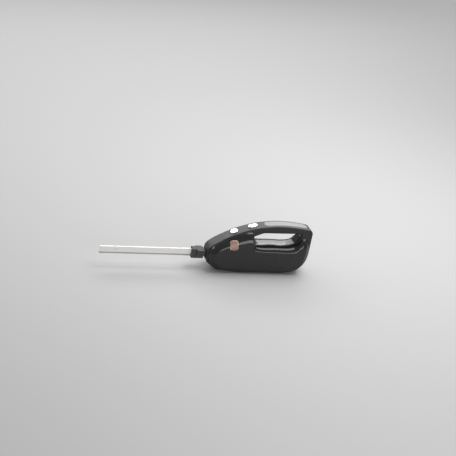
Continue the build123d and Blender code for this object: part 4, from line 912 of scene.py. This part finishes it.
class KNIFE_OT_stage(bpy.types.Operator):
    """Builds the pale floor, the softboxes, the even light and the camera"""

    bl_idname = "knife.stage"
    bl_label = "Stage"

    FLOOR_REACH = 8.0
    KNIFE_MIDDLE = (0.0, 0.0, 0.05)
    # Each lamp's name, place, aim, width and length, and power against the overhead softbox
    LAMPS = (
        ("overhead_softbox", (0.45, 0.20, 1.20), KNIFE_MIDDLE, (1.0, 1.2), 1.0),
        ("near_fill", (0.30, -1.7, 0.45), KNIFE_MIDDLE, (1.6, 0.5), 0.6),
        ("far_rim", (-0.1, 1.9, 1.15), KNIFE_MIDDLE, (2.6, 0.8), 1.3),
        ("tip_strip", (-1.7, 0.8, 1.2), KNIFE_MIDDLE, (1.2, 0.5), 0.4),
        ("back_wash", (2.1, 2.7, 1.9), (2.1, 2.7, 0.0), (1.8, 1.4), 1.5),
    )

    def floor(self, colour):
        """A large level floor in a pale matt finish."""
        mesh = bpy.data.meshes.new("studio_floor")
        reach = self.FLOOR_REACH
        level = FRAME_BOX[0][2]
        corners = [(-reach, -reach, level), (reach, -reach, level),
                   (reach, reach, level), (-reach, reach, level)]
        mesh.from_pydata(corners, [], [(0, 1, 2, 3)])
        material, tree, shader = start_material("pale_floor", 0.6)
        grain = use_group(tree, "mould_grain", Grain_Size=3 * MM, Roughness=0.62, Spread=0.05)
        tree.links.new(grain.outputs["Roughness"], shader.inputs["Roughness"])
        shader.inputs["Base Color"].default_value = (*colour, 1.0)
        shader.inputs["Specular IOR Level"].default_value = 0.2
        new_piece("studio_floor", mesh, material, smooth=False)

    def lamps(self, power):
        """Overhead softbox, near fill, strips behind and past the tip, wash on the far floor."""
        for name, place, aim, size, share in self.LAMPS:
            area_lamp(name, place, aim, size, power * share)

    def world(self, strength):
        """Even light from all round."""
        world = bpy.data.worlds.new("studio_world")
        world.use_nodes = True
        back = world.node_tree.nodes["Background"]
        back.inputs["Color"].default_value = (1.0, 1.0, 1.0, 1.0)
        back.inputs["Strength"].default_value = strength
        bpy.context.scene.world = world

    def camera(self, settings):
        """Camera at the picture's own viewing angle, with its roll."""
        bearing = settings.camera_azimuth
        rise = settings.camera_elevation
        back = Vector((math.sin(bearing) * math.cos(rise), -math.cos(bearing) * math.cos(rise),
                       math.sin(rise)))
        data = bpy.data.cameras.new("product_camera")
        data.lens = settings.camera_lens
        camera = bpy.data.objects.new("product_camera", data)
        camera.location = Vector(settings.camera_aim) + back * settings.camera_distance
        camera.rotation_euler = back.to_track_quat("Z", "Y").to_euler()
        camera.rotation_euler.rotate_axis("Z", settings.camera_roll)
        bpy.context.scene.collection.objects.link(camera)
        bpy.context.scene.camera = camera

    def execute(self, context):
        settings = context.scene.knife_stage
        self.floor(settings.floor_colour)
        self.lamps(settings.softbox_power)
        self.world(settings.world_light)
        self.camera(settings)
        context.scene.view_settings.view_transform = "Standard"
        return {"FINISHED"}


STEPS = (
    KNIFE_OT_shells, KNIFE_OT_band, KNIFE_OT_badge, KNIFE_OT_caps, KNIFE_OT_blades,
    KNIFE_OT_hubs, KNIFE_OT_drive, KNIFE_OT_motor, KNIFE_OT_cord_entry, KNIFE_OT_screws,
    KNIFE_OT_stage,
)


class KNIFE_PT_panel(bpy.types.Panel):
    """Lists the steps that dress the knife"""

    bl_idname = "KNIFE_PT_panel"
    bl_label = "Carving Knife"
    bl_space_type = "VIEW_3D"
    bl_region_type = "UI"
    bl_category = "Carving Knife"

    def draw(self, context):
        for step in STEPS:
            self.layout.operator(step.bl_idname)


SETTINGS = (
    ("knife_shell", ShellSettings), ("knife_metal", MetalSettings), ("knife_stage", StageSettings),
)


def register():
    """Registers the settings, the steps and the panel."""
    for name, group in SETTINGS:
        bpy.utils.register_class(group)
        setattr(bpy.types.Scene, name, bpy.props.PointerProperty(type=group))
    for step in (*STEPS, KNIFE_PT_panel):
        bpy.utils.register_class(step)


def unregister():
    """Takes the panel, the steps and the settings away again."""
    for step in reversed((*STEPS, KNIFE_PT_panel)):
        bpy.utils.unregister_class(step)
    for name, group in reversed(SETTINGS):
        delattr(bpy.types.Scene, name)
        bpy.utils.unregister_class(group)


def main():
    """Dresses the knife step by step."""
    register()
    for step in STEPS:
        group, name = step.bl_idname.split(".")
        getattr(getattr(bpy.ops, group), name)()


if __name__ == "__main__":
    main()
